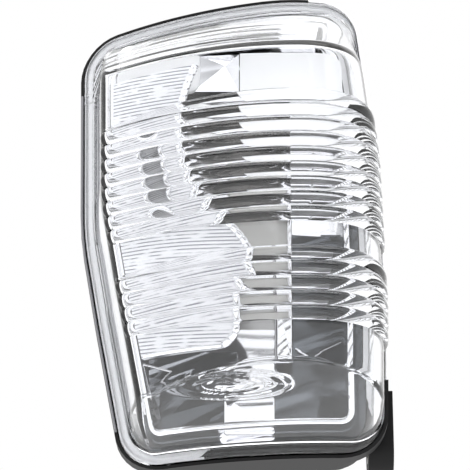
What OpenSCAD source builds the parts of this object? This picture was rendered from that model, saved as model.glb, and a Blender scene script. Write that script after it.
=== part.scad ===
// Side mirror turn signal lamp.
// Millimetres. X to the right, Y to the back, Z up, seen from the front.
// Depths below count from the foremost line of the lens between its ribs.
// The finished pieces are moved so that the flat back lies at Y = 0.

/* [Outline] */
// Width of the lamp
lamp_w = 84.6; // [80:0.2:94]
// Height of the lamp
lamp_h = 134.6; // [126:0.2:146]
// From the middle line to the left edge
edge_left = 44; // [40:0.5:48]
// From the middle line to the bottom edge
edge_bottom = 61.6; // [57:0.2:66]
// How far the upper left corner lies below the top
top_left_drop = 6; // [3:0.5:9]
// How far the right side leans in at its upper end
top_right_lean = 7.2; // [4:0.2:9]
// How far the left side leans in where the stronger lean starts
upper_left_lean = 1.4; // [0:0.2:2]
// How far the left side leans in at its lower end
bottom_left_lean = 14.5; // [10:0.5:18]
// Where the top edge is highest
top_peak_x = 15; // [8:1:20]
// Height at which the left side starts to lean in
lean_start_z = 8; // [4:1:14]
// Radius of the two upper corners
corner_top_r = 11.5; // [9:0.5:14]
// Radius of the two lower corners
corner_low_r = 13; // [11:0.5:15]

/* [Lens] */
// Depth of the sealing edge behind the foremost line
edge_depth = 26; // [22:0.5:30]
// Radius of the sealing edge's sweep seen from above
edge_sweep_r = 96; // [88:1:120]
// Where the sweep is foremost
sweep_mid_x = 14; // [8:1:18]
// Where the lens face is foremost
face_mid_x = 16; // [10:1:20]
// Depth of the face at its left corner
face_left_depth = 20.5; // [18:0.5:24]
// From the face's foremost line to its left corner
face_left_w = 52.8; // [50:0.2:56]
// From the lamp's left edge to the lens corner
corner_in = 7.2; // [6:0.2:9]
// Squareness of the right corner
right_corner_power = 2.6; // [2.2:0.1:3.2]
// How much further out the right wall stands than the other walls
right_out = 1.9; // [1:0.1:2]
// Swell of the right wall beyond its foot
right_swell = 0.8; // [0:0.1:1.2]
// Height of the upper crease
crease_top_z = 46.7; // [42:0.1:50]
// Height of the lower crease
crease_low_z = -42; // [-46:0.5:-39]
// Sag of the lower crease towards its ends
crease_low_sag = 6; // [2:0.5:7]
// How far the face falls back at its top and bottom
dome = 1.5; // [0:0.1:3]
// Wall of the lens
lens_wall = 2; // [1.6:0.1:2.4]
// Thickness of the sealing edge
flange_t = 2.4; // [2:0.1:3.2]
// Width of the sealing edge outside the lens wall
flange_w = 2.2; // [1.8:0.1:3]
// Height of one rib of the upper group
rib_pitch_top = 4.2; // [3.8:0.1:4.4]
// Height of one rib of the lower group
rib_pitch_low = 4; // [3.6:0.1:4.2]
// How far a rib stands proud
rib_proud = 1.2; // [0.8:0.1:1.6]
// Ribs in the upper group
rib_count_top = 9; // [5:1:9]
// Ribs in the lower group
rib_count_low = 5; // [3:1:5]
// Lower end of the upper group
rib_top_start_z = -4.8; // [-8:0.2:-4]
// Lower end of the lower group
rib_low_start_z = -31.4; // [-34:0.2:-30]

/* [Housing] */
// Depth of the housing's flat back
back_y = 62; // [60:0.5:70]
// Thickness of the flat back
back_t = 2.4; // [2:0.1:3.5]
// Thickness of the lip round the lens
lip_t = 0.85; // [0.7:0.05:1.2]
// Gap between the lip and the lens
lip_gap = 0.3; // [0.2:0.05:0.4]
// Depth of the sealing groove
groove_depth = 1.2; // [0.8:0.1:1.6]
// Width of the sealing groove
groove_w = 3.6; // [2.4:0.1:3.8]
// Gap between the lens edge and the ledge it lies over
seat_gap = 0.3; // [0.2:0.05:0.4]
// Height of the boss round the bulb opening
boss_h = 2; // [1.5:0.5:4]
// Bore of the fixing ear
ear_bore = 6.4; // [5.5:0.1:7]
// Radius of the fixing ear
ear_r = 6.6; // [6:0.1:8]
// Thickness of the fixing ear
ear_t = 6.6; // [5:0.2:8]
// Height of the ear's bore
ear_z = -53; // [-56:0.5:-50]
// Depth of the ear's bore
ear_y = 45; // [43:0.5:48]
// Diameter of the locating peg
peg_d = 6; // [4:0.5:8]
// Length of the locating peg
peg_l = 8; // [5:0.5:12]

/* [Reflector and curtain] */
// Space between the reflector's floor and the flat back
back_space = 9.5; // [8:0.5:11]
// Thickness of the reflector
reflector_t = 1.8; // [1.5:0.1:2.2]
// Radius of the bowl at its mouth
bowl_r = 22; // [20:0.5:24]
// Depth of the bowl's mouth
bowl_mouth_y = 33; // [31:0.5:36]
// Height of the bulb's axis
bulb_z = 31; // [28:0.5:33]
// Place of the bulb's axis to the right of the middle line
bulb_x = 1; // [0:0.5:3]
// Gap between the lens face and the curtain
curtain_gap = 7; // [6:0.5:8]
// Thickness of the curtain
curtain_t = 1.5; // [1.2:0.1:2]

/* [Bulb and holder] */
// Diameter of the bulb
bulb_d = 17; // [15:0.5:18]
// Depth of the bulb's tip
bulb_tip_y = 25; // [22:0.5:30]
// Thickness of the bulb's wedge base
wedge_t = 5; // [4:0.5:5.5]
// Width of the bulb's wedge base
wedge_w = 14; // [12:0.5:14.5]
// Bore of the housing for the bulb holder
holder_bore = 24; // [22:0.5:26]
// Radial gap of the holder in its bore
holder_gap = 0.08; // [0.03:0.01:0.1]
// Thickness of a bayonet lug
lug_t = 2.4; // [2:0.1:3]
// Reach of a bayonet lug past the bore
lug_reach = 2.4; // [2:0.1:3]
// Angle that a bayonet lug spans
lug_angle = 28; // [20:1:32]
// Play between a lug and the housing
lug_play = 0.2; // [0.1:0.05:0.3]
// Thickness of the seal ring
seal_t = 2.2; // [1.8:0.1:2.6]
// Thickness of the holder's flange
holder_flange_t = 2.4; // [2:0.1:3]
// Width of the connector mouth
mouth_w = 16; // [14:0.5:18]
// Height of the connector mouth
mouth_h = 9; // [8:0.5:11]
// Depth of the connector mouth
mouth_depth = 13; // [10:0.5:15]
// Thickness of a contact strip
contact_t = 0.6; // [0.5:0.05:0.8]
// Width of a contact strip
contact_w = 4; // [3:0.2:4.6]

/* [Hidden] */
$fn = 48;
edge_right = lamp_w - edge_left;
edge_top = lamp_h - edge_bottom;
half_span = 100;
floor_y = back_y - back_space;
ledge_dy = flange_t + seat_gap;
groove_in = lip_t + 0.45;
gasket_play = 0.1;
gasket_gap = 0.12;
flange_in = 5.7;
recess_dy = ledge_dy + 2.2;
boss_y = back_y + boss_h;
plate_y = back_y - back_t;
holder_r = holder_bore / 2 - holder_gap;
holder_flange_y = boss_y + seal_t;
shroud_y = holder_flange_y + holder_flange_t;
mouth_floor_y = shroud_y + 6;
holder_end_y = mouth_floor_y + mouth_depth;
wedge_y = floor_y - 2.5;
wedge_end_y = back_y;
socket_wall = 1.2;
lug_count = 3;
notch_play = 3;
quarter_turn = 45;
ear_x = edge_right + 1.2 - ear_t;
bush_t = 1;
peg_x = -20;
peg_z = 46;
vent_x = 18;
vent_z = -24;
vent_r = 4;
vent_h = 7;
vent_bore = 3;
cap_t = 1.5;
collar_h = 2.4;
membrane_r = 3.4;
membrane_t = 0.4;
screw_spots = [[-26, 46], [-17, -30]];
post_spots = [[20, 44], [20, -38]];
post_r = 3.4;
screw_r = 1.5;
screw_gap = 0.1;
foot_spots = [[-27, 16], [-23, -16]];
foot_r = 2;
tongue_w = 12;
tongue_t = 2.2;
tongue_z = edge_top - 4.6;
clip_w = 9;
clip_t = 0.7;
clip_l = 12;
tongue_y = 60;
facet_x = 15.5;
plate_left_x = -1;
lower_plate_top_z = 11;
lower_plate_low_z = -11;
body_in = 4.6;
wall_t = 2.2;
step_in = 2;
cavity_in = body_in + step_in + wall_t;
reflector_gap = 0.25;
reflector_in = cavity_in + reflector_gap;
rim_rise = -1.4;
bulb_opening_r = bulb_d / 2 + 2;
curtain_straight_x = 1;

// Outline of the lamp as corners with radii, counter-clockwise.
outline = [
    [bottom_left_lean - edge_left, -edge_bottom, corner_low_r],
    [edge_right - 0.8, 2.4 - edge_bottom, corner_low_r],
    [edge_right, -20, 90],
    [edge_right - 1.2, 22, 90],
    [edge_right - top_right_lean, edge_top - 0.8, corner_top_r],
    [top_peak_x, edge_top, 100],
    [-edge_left, edge_top - top_left_drop, corner_top_r],
    [upper_left_lean - edge_left, lean_start_z, 90],
    [6.2 - edge_left, -19, 90]
];
corner_steps = [8, 8, 2, 2, 8, 3, 8, 2, 2];

function unit(v) = v / norm(v);
function spot(v, i) = let(q = v[(i + len(v)) % len(v)]) [q[0], q[1]];
function to_last(v, i) = unit(spot(v, i - 1) - spot(v, i));
function to_next(v, i) = unit(spot(v, i + 1) - spot(v, i));
function half_angle(v, i) = acos(to_last(v, i) * to_next(v, i)) / 2;
function bisector(v, i) = unit(to_last(v, i) + to_next(v, i));
function inset_spot(v, i, d) =
    spot(v, i) + bisector(v, i) * d / sin(half_angle(v, i));
function inset(v, d) = [
    for (i = [0 : len(v) - 1])
        concat(inset_spot(v, i, d), [max(v[i][2] - d, 1)])
];
function arc_at(v, i, n) =
    let(h = half_angle(v, i), r = v[i][2])
    let(c = spot(v, i) + bisector(v, i) * r / sin(h))
    let(s = spot(v, i) + to_last(v, i) * r / tan(h) - c)
    let(a = atan2(s[1], s[0]), turn = 180 - 2 * h)
    [for (k = [0 : n]) c + r * [cos(a + turn * k / n), sin(a + turn * k / n)]];
function loop(d) =
    let(v = inset(outline, d))
    [for (i = [0 : len(v) - 1]) each arc_at(v, i, corner_steps[i])];

// Depth of the sealing edge, which sweeps back to both sides.
function edge_y(x) =
    edge_depth + edge_sweep_r
        - sqrt(pow(edge_sweep_r, 2) - pow(x - sweep_mid_x, 2));

// The lens edge, sampled where the rows and columns of the lens end.
lens_line = inset(outline, lip_t + lip_gap);
foot_outline = [
    for (v = outline)
        v[0] > top_peak_x ? [v[0] + right_out, v[1], v[2]] : v
];
foot_line = inset(foot_outline, lip_t + lip_gap + flange_w);
corner_half = 6;
function arc_part(line, i, from, to) =
    let(a = arc_at(line, i, 2 * corner_half))
    [for (k = [from : to]) a[k]];
function left_part(line) = concat(
    arc_part(line, 6, corner_half, 2 * corner_half),
    arc_at(line, 7, 3),
    arc_at(line, 8, 3),
    arc_part(line, 0, 0, corner_half)
);
function right_part(line) = concat(
    arc_part(line, 1, corner_half, 2 * corner_half),
    arc_at(line, 2, 3),
    arc_at(line, 3, 3),
    arc_part(line, 4, 0, corner_half)
);
top_foot = concat(
    arc_part(foot_line, 4, corner_half, 2 * corner_half),
    arc_at(foot_line, 5, 4),
    arc_part(foot_line, 6, 0, corner_half)
);
low_foot = concat(
    arc_part(foot_line, 0, corner_half, 2 * corner_half),
    arc_part(foot_line, 1, 0, corner_half)
);
function turned(line) = [for (p = line) [p[1], p[0]]];
left_edge = turned(left_part(lens_line));
left_foot = turned(left_part(foot_line));
right_foot = turned(right_part(foot_line));
function left_x(z) = lookup(z, left_edge);
function foot_x(z, way) = lookup(z, way > 0 ? left_foot : right_foot);

// Heights of the lens rows across its belt, with four to a rib.
rib_part = [0.2, 0.5, 0.8, 1];
rib_curve = [0.7, 1, 0.7, 0];
rib_low_end_z = rib_low_start_z + rib_count_low * rib_pitch_low;
rib_top_end_z = rib_top_start_z + rib_count_top * rib_pitch_top;
function group_z(start, count, pitch) = [
    for (r = [0 : count - 1])
        for (p = rib_part)
            start + (r + p) * pitch
];
function group_h(count) = [
    for (r = [0 : count - 1])
        for (h = rib_curve)
            h * rib_proud
];
belt_z = concat(
    [crease_low_z, (crease_low_z + rib_low_start_z) / 2, rib_low_start_z],
    group_z(rib_low_start_z, rib_count_low, rib_pitch_low),
    [(rib_low_end_z + rib_top_start_z) / 2, rib_top_start_z],
    group_z(rib_top_start_z, rib_count_top, rib_pitch_top),
    [
        rib_top_end_z + (crease_top_z - rib_top_end_z) * 0.3,
        rib_top_end_z + (crease_top_z - rib_top_end_z) * 0.65,
        crease_top_z
    ]
);
belt_h = concat(
    [0, 0, 0],
    group_h(rib_count_low),
    [0, 0],
    group_h(rib_count_top),
    [0, 0, 0]
);
row_count = len(belt_z);

// One horizontal section of the lens belt, from the left foot to the right.
left_cols = 5;
face_cols = 8;
right_cols = 8;
cols = left_cols + face_cols + right_cols;
rib_fade = concat([0, 0, 0, 0.8], [for (i = [4 : cols - 2]) 1], [0.8, 0]);
function face_y(x) = face_left_depth * pow((face_mid_x - x) / face_left_w, 2);
function corner_x(z) = left_x(z) - lip_t - lip_gap + corner_in;
function bend(a, b, c, t) =
    pow(1 - t, 2) * a + 2 * t * (1 - t) * b + t * t * c;
function section_point(i, z) =
    let(cx = corner_x(z), rx = foot_x(z, -1), lx = foot_x(z, 1))
    let(foot = [lx, edge_y(lx)], corner = [cx, face_y(cx)])
    let(start_x = cx + 1.6, start = [start_x, face_y(start_x)])
    let(wall = corner + unit(foot - corner) * 1.6)
    let(i2 = i - left_cols + 1)
    let(k = 2 / right_corner_power, ry = edge_y(rx))
    i == 0 ? foot
    : i == 1 ? (foot + wall) / 2
    : i < left_cols ? bend(wall, corner, start, (i - 2) / 2)
    : i <= left_cols + face_cols - 1
        ? let(x = start_x + (face_mid_x - start_x) * i2 / face_cols)
          [x, face_y(x)]
    : let(b = 90 * (i - left_cols - face_cols + 1) / (right_cols + 1))
      [
          face_mid_x + (rx - face_mid_x) * pow(sin(b), k) + swell(b),
          ry * (1 - pow(max(0, cos(b)), k))
      ];
function swell(b) = right_swell * pow(sin(2 * b), 2) * sin(b);
function domed(p, z) =
    let(fall = dome * pow((z - 2) / 45, 2))
    [p[0], p[1] + fall * max(0, 1 - p[1] / 26)];
function section(z) = [for (i = [0 : cols]) domed(section_point(i, z), z)];
function across(row, i) =
    let(n = len(row) - 1, t = unit(row[min(i + 1, n)] - row[max(i - 1, 0)]))
    [t[1], -t[0]];
function belt_row(j, proud) =
    let(z = belt_z[j], s = section(z), low = j == 0 ? 1 : j == 1 ? 0.4 : 0)
    [
        for (i = [0 : cols])
            let(p = s[i] + across(s, i) * proud * belt_h[j] * rib_fade[i])
            let(sag = low * crease_low_sag * min(1, pow((p[0] - 12) / 34, 2)))
            let(way = p[0] < face_mid_x ? 1 : -1, foot = foot_x(z, way))
            let(new_foot = foot_x(z - sag, way), dy = edge_y(new_foot) - edge_y(foot))
            [
                p[0] + (new_foot - foot) * (p[0] - face_mid_x) / (foot - face_mid_x),
                p[1] + dy * min(1, p[1] / edge_y(foot)),
                z - sag
            ]
    ];

// Blend from a crease of the belt to the lens edge above or below it.
blend_low = [1, 0.82, 0.6, 0.36, 0.14];
blend_top = [0.1, 0.28, 0.5, 0.74, 1];
bulge = 1.6;
function column_share(row, i) =
    let(a = row[0][0], b = row[cols][0])
    0.5 * i / cols + 0.5 * (row[i][0] - a) / (b - a);
function rim_low(row) =
    let(a = low_foot[0][0], b = low_foot[len(low_foot) - 1][0])
    [
        for (i = [0 : cols])
            let(x = a + (b - a) * column_share(row, i))
            [x, edge_y(x), lookup(x, low_foot)]
    ];
function rim_top(row) =
    let(a = top_foot[len(top_foot) - 1][0], b = top_foot[0][0])
    [
        for (i = [0 : cols])
            let(x = a + (b - a) * column_share(row, i))
            [x, edge_y(x), lookup(x, top_foot)]
    ];
function side_spot(crease, rim, v, way) =
    let(z = crease[2] + (rim[2] - crease[2]) * v, x = foot_x(z, way))
    v == 1 ? rim : [x, edge_y(x), z];
function blend_row(crease, rim, v) =
    let(l = side_spot(crease[0], rim[0], v, 1))
    let(r = side_spot(crease[cols], rim[cols], v, -1))
    [
        for (i = [0 : cols])
            let(u = column_share(crease, i))
            let(flat = (1 - v) * crease[i] + v * rim[i])
            let(ends = (1 - u) * l + u * r)
            let(twice = (1 - u) * ((1 - v) * crease[0] + v * rim[0])
                + u * ((1 - v) * crease[cols] + v * rim[cols]))
            flat + ends - twice
                - [0, bulge * sin(180 * v) * sin(180 * u), 0]
    ];
function lens_grid(proud) =
    let(belt = [for (j = [0 : row_count - 1]) belt_row(j, proud)])
    let(rim_a = rim_low(belt[0]), rim_b = rim_top(belt[row_count - 1]))
    concat(
        [for (v = blend_low) blend_row(belt[0], rim_a, v)],
        belt,
        [for (v = blend_top) blend_row(belt[row_count - 1], rim_b, v)]
    );
rows = row_count + len(blend_low) + len(blend_top) - 1;

// Walk round the rim of a grid, counter-clockwise.
function rim_walk(m, n) = concat(
    [for (i = [0 : n - 1]) [0, i]],
    [for (j = [0 : m - 1]) [j, n]],
    [for (i = [0 : n - 1]) [m, n - i]],
    [for (j = [0 : m - 1]) [m - j, 0]]
);
function grid_normal(g, j, i) =
    let(du = g[j][i + 1] - g[j][i - 1], dv = g[j + 1][i] - g[j - 1][i])
    unit(cross(du, dv));
function outward(ring, k) =
    let(n = len(ring), t = ring[(k + 1) % n] - ring[(k + n - 1) % n])
    unit([t[2], -t[0]]);
function ring_out(ring, d, dy) = [
    for (k = [0 : len(ring) - 1])
        let(n = outward(ring, k))
        let(o = n * (d > 0 ? d * (1 - max(0, n[0]) * right_out / flange_w) : d))
        let(x = ring[k][0] + o[0])
        [x, edge_y(x) + dy, ring[k][2] + o[1]]
];
function strip(a, b, n) = [
    for (k = [0 : n - 1])
        each [
            [a + k, a + (k + 1) % n, b + (k + 1) % n],
            [a + k, b + (k + 1) % n, b + k]
        ]
];
function walk_strip(a, walk, n) =
    let(m = len(walk))
    [
        for (k = [0 : m - 1])
            let(p = walk[k], q = walk[(k + 1) % m])
            let(ip = p[0] * (n + 1) + p[1], iq = q[0] * (n + 1) + q[1])
            each [
                [ip + a[0], iq + a[0], a[1] + (k + 1) % m],
                [ip + a[0], a[1] + (k + 1) % m, a[1] + k]
            ]
    ];
function flipped(faces) = [for (f = faces) [f[2], f[1], f[0]]];
function grid_faces(m, n, start) = [
    for (j = [0 : m - 1])
        for (i = [0 : n - 1])
            let(a = start + j * (n + 1) + i)
            each [[a, a + 1, a + n + 2], [a, a + n + 2, a + n + 1]]
];

module lens() {
    outer = lens_grid(1);
    base = lens_grid(0);
    walk = rim_walk(rows, cols);
    m = len(walk);
    foot = [for (w = walk) outer[w[0]][w[1]]];
    back = ring_out(foot, -lens_wall, flange_t);
    function back_at(j, i) = [for (k = [0 : m - 1]) if (walk[k] == [j, i]) back[k]][0];
    inner = [
        for (j = [0 : rows])
            for (i = [0 : cols])
                j == 0 || j == rows || i == 0 || i == cols
                    ? back_at(j, i)
                    : base[j][i] + grid_normal(base, j, i) * -lens_wall
    ];
    size = (rows + 1) * (cols + 1);
    front_ring = 2 * size;
    points = concat(
        [for (row = outer) each row],
        inner,
        ring_out(foot, flange_w - 0.9, 0),
        ring_out(foot, flange_w, 0.6),
        ring_out(foot, flange_w, flange_t)
    );
    faces = concat(
        grid_faces(rows, cols, 0),
        flipped(grid_faces(rows, cols, size)),
        flipped(walk_strip([0, front_ring], walk, cols)),
        flipped(strip(front_ring, front_ring + m, m)),
        flipped(strip(front_ring + m, front_ring + 2 * m, m)),
        walk_strip([size, front_ring + 2 * m], walk, cols)
    );
    color([0.93, 0.95, 0.97, 0.35]) from_back()
        polyhedron(points = points, faces = flipped(faces), convexity = 10);
}

// A straight-walled body inside the outline, from one depth to another.
module inside_outline(d, from, to) {
    translate([0, to, 0])
        rotate([90, 0, 0])
            linear_extrude(height = to - from)
                polygon(loop(d));
}
// All that lies behind the sealing edge's sweep, moved back by dy.
module behind_edge(dy) {
    translate([sweep_mid_x, edge_depth + dy + edge_sweep_r, -half_span])
        cylinder(h = 2 * half_span, r = edge_sweep_r, $fn = 240);
}
// A band of the outline between two sweeps.
module swept_band(d, from, to) {
    difference() {
        intersection() {
            inside_outline(d, 0, 90);
            behind_edge(from);
        }
        behind_edge(to);
    }
}

// A round bar along Y, from one depth to another.
module bar(x, z, r, from, to, fn = 48) {
    translate([x, from, z])
        rotate([-90, 0, 0])
            cylinder(h = to - from, r = r, $fn = fn);
}
module along_y(x, z) {
    translate([x, 0, z])
        rotate([-90, 0, 0])
            children();
}
// Puts the lamp's flat back on Y = 0.
module from_back() {
    translate([0, -back_y, 0])
        children();
}
module block(from, to) {
    translate(from)
        cube(to - from);
}

module housing_bowl() {
    step_y = floor_y + 1.5;
    difference() {
        union() {
            swept_band(0, 0.8, 5.6);
            intersection() {
                inside_outline(body_in, 0, step_y);
                behind_edge(4);
            }
            inside_outline(body_in + step_in, step_y - 2, back_y);
        }
        difference() {
            inside_outline(lip_t, 0, 80);
            behind_edge(ledge_dy);
        }
        difference() {
            groove_band(0);
            behind_edge(ledge_dy + groove_depth);
        }
        difference() {
            inside_outline(flange_in - 0.2, 0, 80);
            behind_edge(recess_dy);
        }
        inside_outline(body_in + wall_t, 0, floor_y - 0.8);
        inside_outline(cavity_in, 10, plate_y);
    }
}
module groove_band(play) {
    difference() {
        inside_outline(groove_in + play, 10, 58);
        inside_outline(groove_in + groove_w - play, 0, 60);
    }
}
module ear() {
    translate([ear_x, ear_y, ear_z])
        rotate([0, 90, 0])
            cylinder(h = ear_t, r = ear_r);
    block([ear_x, ear_y - ear_r, ear_z], [ear_x + ear_t, ear_y + ear_r, ear_z + 15]);
}
module tongue() {
    block([-tongue_w / 2, 35, tongue_z - 2.8], [tongue_w / 2, 45.5, tongue_z + tongue_t]);
    block([-tongue_w / 2, 45, tongue_z], [tongue_w / 2, tongue_y, tongue_z + tongue_t]);
}
module bayonet_opening() {
    bar(bulb_x, bulb_z, holder_bore / 2, plate_y - 1, boss_y + 1, 96);
    for (k = [0 : lug_count - 1])
        translate([bulb_x, plate_y - 1, bulb_z])
            rotate([0, quarter_turn + k * 360 / lug_count, 0])
                rotate([-90, 0, 0])
                    rotate([0, 0, -(lug_angle + notch_play) / 2])
                        rotate_extrude(angle = lug_angle + notch_play, $fn = 96)
                            translate([holder_bore / 2 - 2, 0])
                                square([lug_reach + 2.4, back_t + boss_h + 2]);
}

module housing() {
    color([0.06, 0.06, 0.07]) from_back()
        difference() {
            union() {
                housing_bowl();
                bar(bulb_x, bulb_z, holder_bore / 2 + 5.5, back_y - 0.4, boss_y, 96);
                bar(peg_x, peg_z, peg_d / 2, back_y - 0.4, back_y + peg_l);
                bar(vent_x, vent_z, vent_r, back_y - 0.4, back_y + vent_h);
                bar(vent_x, vent_z, vent_r + cap_t + 0.5, back_y - 0.4, back_y + collar_h);
                for (s = concat(screw_spots, post_spots))
                    bar(s[0], s[1], post_r, floor_y + reflector_t, plate_y + 0.4);
                ear();
                tongue();
            }
            bayonet_opening();
            bar(vent_x, vent_z, vent_bore / 2, plate_y - 1, back_y + vent_h + 1);
            for (s = screw_spots)
                bar(s[0], s[1], screw_r + screw_gap, floor_y, plate_y + 0.8);
            translate([ear_x - 1, ear_y, ear_z])
                rotate([0, 90, 0])
                    cylinder(h = ear_t + 2, r = ear_bore / 2);
        }
}

module rim_gasket() {
    color([0.85, 0.86, 0.86]) from_back()
        difference() {
            intersection() {
                groove_band(gasket_play);
                behind_edge(flange_t + gasket_gap);
            }
            behind_edge(ledge_dy + groove_depth - 0.1);
        }
}

// Reflector: a rimmed dish with a bowl, a side facet and a lower plate.
module reflector_dish() {
    difference() {
        union() {
            intersection() {
                inside_outline(reflector_in, 0, floor_y + reflector_t);
                behind_edge(rim_rise);
            }
            swept_band(flange_in, ledge_dy + 0.3, recess_dy - 0.2);
        }
        inside_outline(reflector_in + reflector_t, 0, floor_y);
    }
}
module reflector_bowl() {
    neck_r = bulb_opening_r + 0.6;
    root_y = floor_y + 0.7;
    steps = 8;
    function bowl_y(r) =
        root_y - (root_y - bowl_mouth_y) * pow((r - neck_r) / (bowl_r - neck_r), 1.6);
    inside = [
        for (k = [0 : steps])
            let(r = neck_r + (bowl_r - neck_r) * k / steps)
            [r, bowl_y(r)]
    ];
    outside = [
        for (k = [0 : steps])
            let(r = bowl_r - (bowl_r - neck_r) * k / steps)
            [r + reflector_t, bowl_y(r) + 0.3]
    ];
    along_y(bulb_x, bulb_z)
        rotate_extrude($fn = 60)
            polygon(concat(inside, outside));
}
module side_facet() {
    high = 40;
    difference() {
        block([facet_x, floor_y - 12.5, -high], [facet_x + 9.5, floor_y + 0.4, high]);
        translate([facet_x - 1, floor_y - 90.5, 4])
            rotate([0, 90, 0])
                cylinder(h = 12, r = 84, $fn = 120);
    }
}
module lower_plate() {
    block(
        [plate_left_x, floor_y - 8.5, lower_plate_low_z],
        [facet_x + 0.7, floor_y + 0.5, lower_plate_top_z]
    );
}
module reflector() {
    color([0.82, 0.83, 0.85]) from_back()
        difference() {
            union() {
                reflector_dish();
                difference() {
                    reflector_bowl();
                    block([facet_x + 0.6, 20, -20], [60, 60, 60]);
                    block([-60, 20, -60], [60, 60, lower_plate_top_z - 0.6]);
                }
                side_facet();
                lower_plate();
            }
            bar(bulb_x, bulb_z, bulb_opening_r, floor_y - 1, floor_y + 4);
            for (s = screw_spots)
                bar(s[0], s[1], screw_r + 0.3, floor_y - 1, floor_y + 4);
        }
}

// Curtain: a satin panel behind the lens with a flowing right edge.
wave_left_x = -14.1;
wave_right_x = 4.7;
wave_high_z = 28;
wave_low_z = -13;
curtain_top_z = 45;
curtain_low_z = -36;
curtain_corner_r = 6;
function curtain_edge_x(z) =
    z > wave_high_z ? wave_left_x + 4.9 * pow((z - wave_high_z) / 18, 2)
    : z > wave_low_z
        ? let(t = pow((wave_high_z - z) / (wave_high_z - wave_low_z), 1.5))
          wave_left_x + (wave_right_x - wave_left_x) * (1 - cos(180 * t)) / 2
    : z > wave_low_z - 8
        ? curtain_straight_x + (wave_right_x - curtain_straight_x)
            * (1 + cos(180 * (wave_low_z - z) / 8)) / 2
    : z > curtain_low_z + curtain_corner_r ? curtain_straight_x
    : let(s = (curtain_low_z + curtain_corner_r - z) / curtain_corner_r)
      curtain_straight_x - curtain_corner_r * (1 - sqrt(max(0, 1 - s * s)));
curtain_rows = 26;
curtain_cols = 7;
function curtain_point(j, i, back) =
    let(z = curtain_low_z + (curtain_top_z - curtain_low_z) * j / curtain_rows)
    let(a = corner_x(z) + 3.6, b = curtain_edge_x(z), x = a + (b - a) * i / curtain_cols)
    let(y = face_y(x) + curtain_gap)
    [x, y + back * curtain_t, z];
module curtain() {
    m = curtain_rows;
    n = curtain_cols;
    size = (m + 1) * (n + 1);
    front = [for (j = [0 : m]) for (i = [0 : n]) curtain_point(j, i, 0)];
    rear = [for (j = [0 : m]) for (i = [0 : n]) curtain_point(j, i, 1)];
    walk = rim_walk(m, n);
    w = len(walk);
    side = [
        for (k = [0 : w - 1])
            let(p = walk[k], q = walk[(k + 1) % w])
            let(ip = p[0] * (n + 1) + p[1], iq = q[0] * (n + 1) + q[1])
            each [[ip, iq, size + iq], [ip, size + iq, size + ip]]
    ];
    color([0.8, 0.8, 0.85]) from_back()
        union() {
            polyhedron(
                points = concat(front, rear),
                faces = concat(
                    flipped(grid_faces(m, n, 0)),
                    grid_faces(m, n, size),
                    side
                ),
                convexity = 6
            );
            for (s = foot_spots)
                bar(s[0], s[1], foot_r, foot_top(s), floor_y);
        }
}
function foot_top(s) = face_y(s[0]) + curtain_gap + curtain_t / 2;

module reflector_screws() {
    color([0.72, 0.72, 0.7]) from_back()
        for (s = screw_spots) {
            bar(s[0], s[1], screw_r, floor_y - 0.2, plate_y + 0.4);
            difference() {
                bar(s[0], s[1], 3, floor_y - 2, floor_y);
                block([s[0] - 1.9, floor_y - 2.2, s[1] - 0.4], [s[0] + 1.9, floor_y - 1.2, s[1] + 0.4]);
                block([s[0] - 0.4, floor_y - 2.2, s[1] - 1.9], [s[0] + 0.4, floor_y - 1.2, s[1] + 1.9]);
            }
        }
}

module bulb() {
    r = bulb_d / 2;
    color([0.86, 0.78, 0.6]) from_back()
        union() {
            along_y(bulb_x, bulb_z)
                rotate_extrude($fn = 60)
                    polygon(concat(
                        [[0, bulb_tip_y]],
                        [for (a = [10 : 10 : 90]) [r * sin(a), bulb_tip_y + 7 * (1 - cos(a))]],
                        [[r, wedge_y - 6], [r - 1.2, wedge_y - 2], [5, wedge_y + 1], [0, wedge_y + 1]]
                    ));
            block(
                [bulb_x - wedge_w / 2, wedge_y - 1, bulb_z - wedge_t / 2],
                [bulb_x + wedge_w / 2, wedge_end_y, bulb_z + wedge_t / 2]
            );
        }
}

// Bulb holder: neck with bayonet lugs, flange, grip wings and a plug mouth.
module holder_lugs() {
    for (k = [0 : lug_count - 1])
        translate([bulb_x, plate_y - lug_play - lug_t, bulb_z])
            rotate([0, k * 360 / lug_count, 0])
                rotate([-90, 0, 0])
                    rotate([0, 0, -lug_angle / 2])
                        rotate_extrude(angle = lug_angle, $fn = 96)
                            translate([holder_r - 2, 0])
                                square([lug_reach + 2, lug_t]);
}
module bulb_holder() {
    neck_y = plate_y - lug_play - lug_t;
    socket_r = wedge_w / 2 + socket_wall + 0.6;
    pocket = wedge_t / 2 + contact_t;
    color([0.1, 0.1, 0.11]) from_back()
        difference() {
            union() {
                bar(bulb_x, bulb_z, socket_r, wedge_y + 3.4, neck_y + 1);
                bar(bulb_x, bulb_z, holder_r, neck_y, holder_flange_y + 0.2, 96);
                bar(bulb_x, bulb_z, holder_bore / 2 + 5, holder_flange_y, shroud_y, 96);
                holder_lugs();
                block(
                    [bulb_x - mouth_w / 2 - 2, shroud_y - 0.2, bulb_z - mouth_h / 2 - 2],
                    [bulb_x + mouth_w / 2 + 2, holder_end_y, bulb_z + mouth_h / 2 + 2]
                );
                for (way = [-1, 1])
                    block(
                        [bulb_x - 1.2, shroud_y - 0.2, bulb_z + way * 10.5 - 5],
                        [bulb_x + 1.2, shroud_y + 8, bulb_z + way * 10.5 + 5]
                    );
            }
            block(
                [bulb_x - wedge_w / 2 - 0.1, wedge_y, bulb_z - pocket],
                [bulb_x + wedge_w / 2 + 0.1, wedge_end_y, bulb_z + pocket]
            );
            block(
                [bulb_x - mouth_w / 2, mouth_floor_y, bulb_z - mouth_h / 2],
                [bulb_x + mouth_w / 2, holder_end_y + 1, bulb_z + mouth_h / 2]
            );
            for (way = [-1, 1])
                contact_strip(way);
        }
}
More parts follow.
